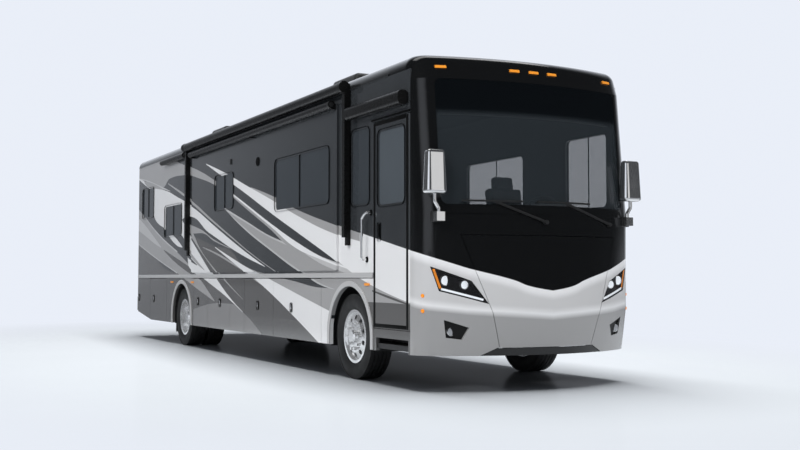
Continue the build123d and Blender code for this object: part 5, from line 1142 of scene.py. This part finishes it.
turned(mesh, (-6.148, 0.0, 3.115), (-1, 0, 0), CAMERA_LENS, 24)
piece("rear_camera", mesh, TRIM)
print("louvres on", len(AIR_CONDITIONERS), "hoods")

# %% [markdown]
# ## The pads of the cab seats
# Each pad starts as a rounded box a little too small, is remeshed, and is blown up by a short cloth
# simulation, so its faces crown and its corners pull in. Sculpting would give the same look, but not
# the same pad each time the script runs.

# %% Seat pads
PADS = [
    # name, shift, height over the floor, lean, size
    ("cushion", 0.0, 0.35, 0.0, (0.54, 0.52, 0.16)),
    ("back", -0.255, 0.72, -10.0, (0.14, 0.50, 0.70)),
    ("headrest", -0.325, 1.10, -8.0, (0.11, 0.29, 0.19)),
]
VOXEL = 0.008
SWELL = 0.016
PRESSURE = 4.0
CLOTH_FRAMES = 20


def blown(name, size):
    """A padded block at the origin, swollen by pressure, with no point moved further than allowed."""
    mesh = bmesh.new()
    block(mesh, (0.0, 0.0, 0.0), [side - SWELL for side in size], min(size) * 0.30, segments=4)
    data = bpy.data.meshes.new(name)
    mesh.to_mesh(data)
    mesh.free()
    pad = bpy.data.objects.new(name, data)
    scene.collection.objects.link(pad)
    remesh = pad.modifiers.new("even_faces", "REMESH")
    remesh.mode = "VOXEL"
    remesh.voxel_size = VOXEL
    graph = bpy.context.evaluated_depsgraph_get()
    pad.data = bpy.data.meshes.new_from_object(pad.evaluated_get(graph))
    pad.modifiers.clear()
    before = [vert.co.copy() for vert in pad.data.vertices]
    cloth = pad.modifiers.new("stuffing", "CLOTH")
    cloth.settings.use_pressure = True
    cloth.settings.uniform_pressure_force = PRESSURE
    cloth.settings.effector_weights.gravity = 0.0
    for number in range(1, CLOTH_FRAMES + 1):
        scene.frame_set(number)
    graph = bpy.context.evaluated_depsgraph_get()
    swollen = bpy.data.meshes.new_from_object(pad.evaluated_get(graph))
    for vert, start in zip(swollen.vertices, before):
        move = vert.co - start
        if move.length > SWELL:
            vert.co = start + move.normalized() * SWELL
    bpy.data.objects.remove(pad)
    scene.frame_set(1)
    return swollen


shapes = {pad[0]: blown(pad[0], pad[4]) for pad in PADS}
print("pads", len(shapes), "faces", sum(len(shape.polygons) for shape in shapes.values()))

# %% [markdown]
# ## The cab seats
# Through the windshield one sees two padded seats on pedestals, with arm rests, in dark leather with
# sewn channels. The seams could be cut into the pads, but at this distance dark lines with a bump are
# enough. The padded seats take the place of the plain ones in the frame.

# %% Seats
FLOOR_TOP = 1.13
SEATS = [("driver", 4.62, 0.56), ("passenger", 4.25, -0.56)]
PEDESTAL = [(0, 0), (0.18, 0), (0.18, 0.012), (0.11, 0.03), (0.09, 0.25), (0.17, 0.28), (0, 0.28)]


def leather():
    finish = Finish("stitched_leather", Specular_IOR_Level=0.35)
    grain = finish.noise(420.0, 5.0)
    tone = finish.mix(grain, grey(0.050, 0.05), grey(0.072, 0.05))
    _, y, _ = finish.axes()
    panel = finish.math("PINGPONG", y, 0.045)
    seam = finish.spread(panel, 1.0, 0.0, 0.0, 0.004, smooth=True)
    finish.colour(finish.mix(seam, tone, grey(0.02, 0.05)))
    finish.roughness(finish.spread(grain, 0.38, 0.52))
    finish.bump(finish.math("SUBTRACT", finish.math("MULTIPLY", grain, 0.3), seam), 0.003)
    return finish.material


LEATHER = leather()
for label, x, y in SEATS:
    for name, shift, height, lean, _ in PADS:
        data = shapes[name].copy()
        turn = Matrix.Rotation(math.radians(lean), 4, "Y")
        data.transform(Matrix.Translation((x + shift, y, FLOOR_TOP + height)) @ turn)
        data.shade_smooth()
        data.materials.clear()
        data.materials.append(LEATHER)
        pad = bpy.data.objects.new(f"{label}_{name}", data)
        scene.collection.objects.link(pad)
        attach(pad, "coach")
    mesh = bmesh.new()
    turned(mesh, (x, y, FLOOR_TOP), (0, 0, 1), PEDESTAL)
    for arm in (-1, 1):
        arm_y = y + arm * 0.285
        block(mesh, (x - 0.10, arm_y, FLOOR_TOP + 0.60), (0.34, 0.055, 0.05), 0.02)
        inner = (x - 0.24, y + arm * 0.20, FLOOR_TOP + 0.56)
        rod(mesh, (x - 0.24, arm_y, FLOOR_TOP + 0.59), inner, 0.016)
    for post in (-1, 1):
        post_y = y + post * 0.06
        rod(mesh, (x - 0.318, post_y, FLOOR_TOP + 1.0), (x - 0.326, post_y, FLOOR_TOP + 1.08), 0.008)
    piece(f"{label}_seat_base", mesh, TRIM)
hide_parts("cab_seats")

# %% [markdown]
# ## Dashboard and visor
# A dark visor with a pale hem hangs along the top of the windshield, and two dark panels on the
# dashboard carry dials with bright rings. The visor could be a flat sheet, but the glass is bowed,
# so it follows the cap at a small distance, as the real blind does.

# %% Dashboard and visor


def across_cap(half, low, high):
    """Corners of a strip across the whole front."""
    return [(-half, low), (half, low), (half, high), (-half, high)]


mesh = bmesh.new()
cap_patch(mesh, across_cap(1.06, 2.79, 3.11), 0.075, 0.006, 1, 24)
piece("visor", mesh, TRIM)
mesh = bmesh.new()
cap_patch(mesh, across_cap(1.05, 2.775, 2.80), 0.068, 0.014, 1, 24)
piece("visor_hem", mesh, grained("visor_hem", 0.16, 0.5))

DIALS = [(0.42, 0.055), (0.56, 0.07), (0.70, 0.055)]
mesh = bmesh.new()
block(mesh, (5.165, 0.56, 1.855), (0.03, 0.46, 0.12), 0.012, (0.0, -12.0, 0.0))
block(mesh, (5.155, 0.02, 1.80), (0.02, 0.30, 0.17), 0.008, (0.0, -18.0, 0.0))
piece("dial_panel", mesh, FRAME_BLACK)
mesh = bmesh.new()
for y, radius in DIALS:
    ring = [(radius - 0.006, 0.0), (radius - 0.004, 0.005), (radius, 0.004), (radius, -0.01)]
    turned(mesh, (5.150, y, 1.858), (-1, 0, 0.2), ring, 32)
piece("dial_rings", mesh, CHROME)
print("pieces with the cab", len(made))

# %% [markdown]
# ## What each lamp reaches
# Mirrors, rims and handles only look like metal when they have something bright to mirror. One broad
# panel in front lights these pieces alone, so the dark paint and the glass stay calm. The side lamps
# light the coach but not the floor, which has its own broad lamp above, so the shadow stays under it.
# Brighter metal colours would be simpler, but they would also brighten where nothing is mirrored.

# %% Lamp links
bright_metal = bpy.data.collections.new("bright_metal")
for name, solid in nodes.items():
    if slots[name] in ("chrome", "polished_rim"):
        bright_metal.objects.link(solid)
for name in made:
    if "rings" in name or "paddle" in name or "lock" in name:
        bright_metal.objects.link(bpy.data.objects[name])
panel_lamp = soft_lamp("panel_lamp", (18.0, 4.0, 3.6), (5.9, 0.0, 2.0), (10.0, 5.0), 95.0, True)
panel_lamp.light_linking.receiver_collection = bright_metal
floor_only = bpy.data.collections.new("floor_only")
floor_only.objects.link(floor)
floor_lamp.light_linking.receiver_collection = floor_only
coach_only = bpy.data.collections.new("coach_only")
for thing in scene.objects:
    if thing.type == "MESH" and thing != floor:
        coach_only.objects.link(thing)
for side_lamp in side_lamps:
    side_lamp.light_linking.receiver_collection = coach_only

# %% [markdown]
# ## Size of the model
# The size of the finished model is measured here and printed. It is measured and not typed in, so it stays
# true when a size changes.

# %% Size
low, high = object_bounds()
print("visual box", [round(v, 3) for v in high - low])
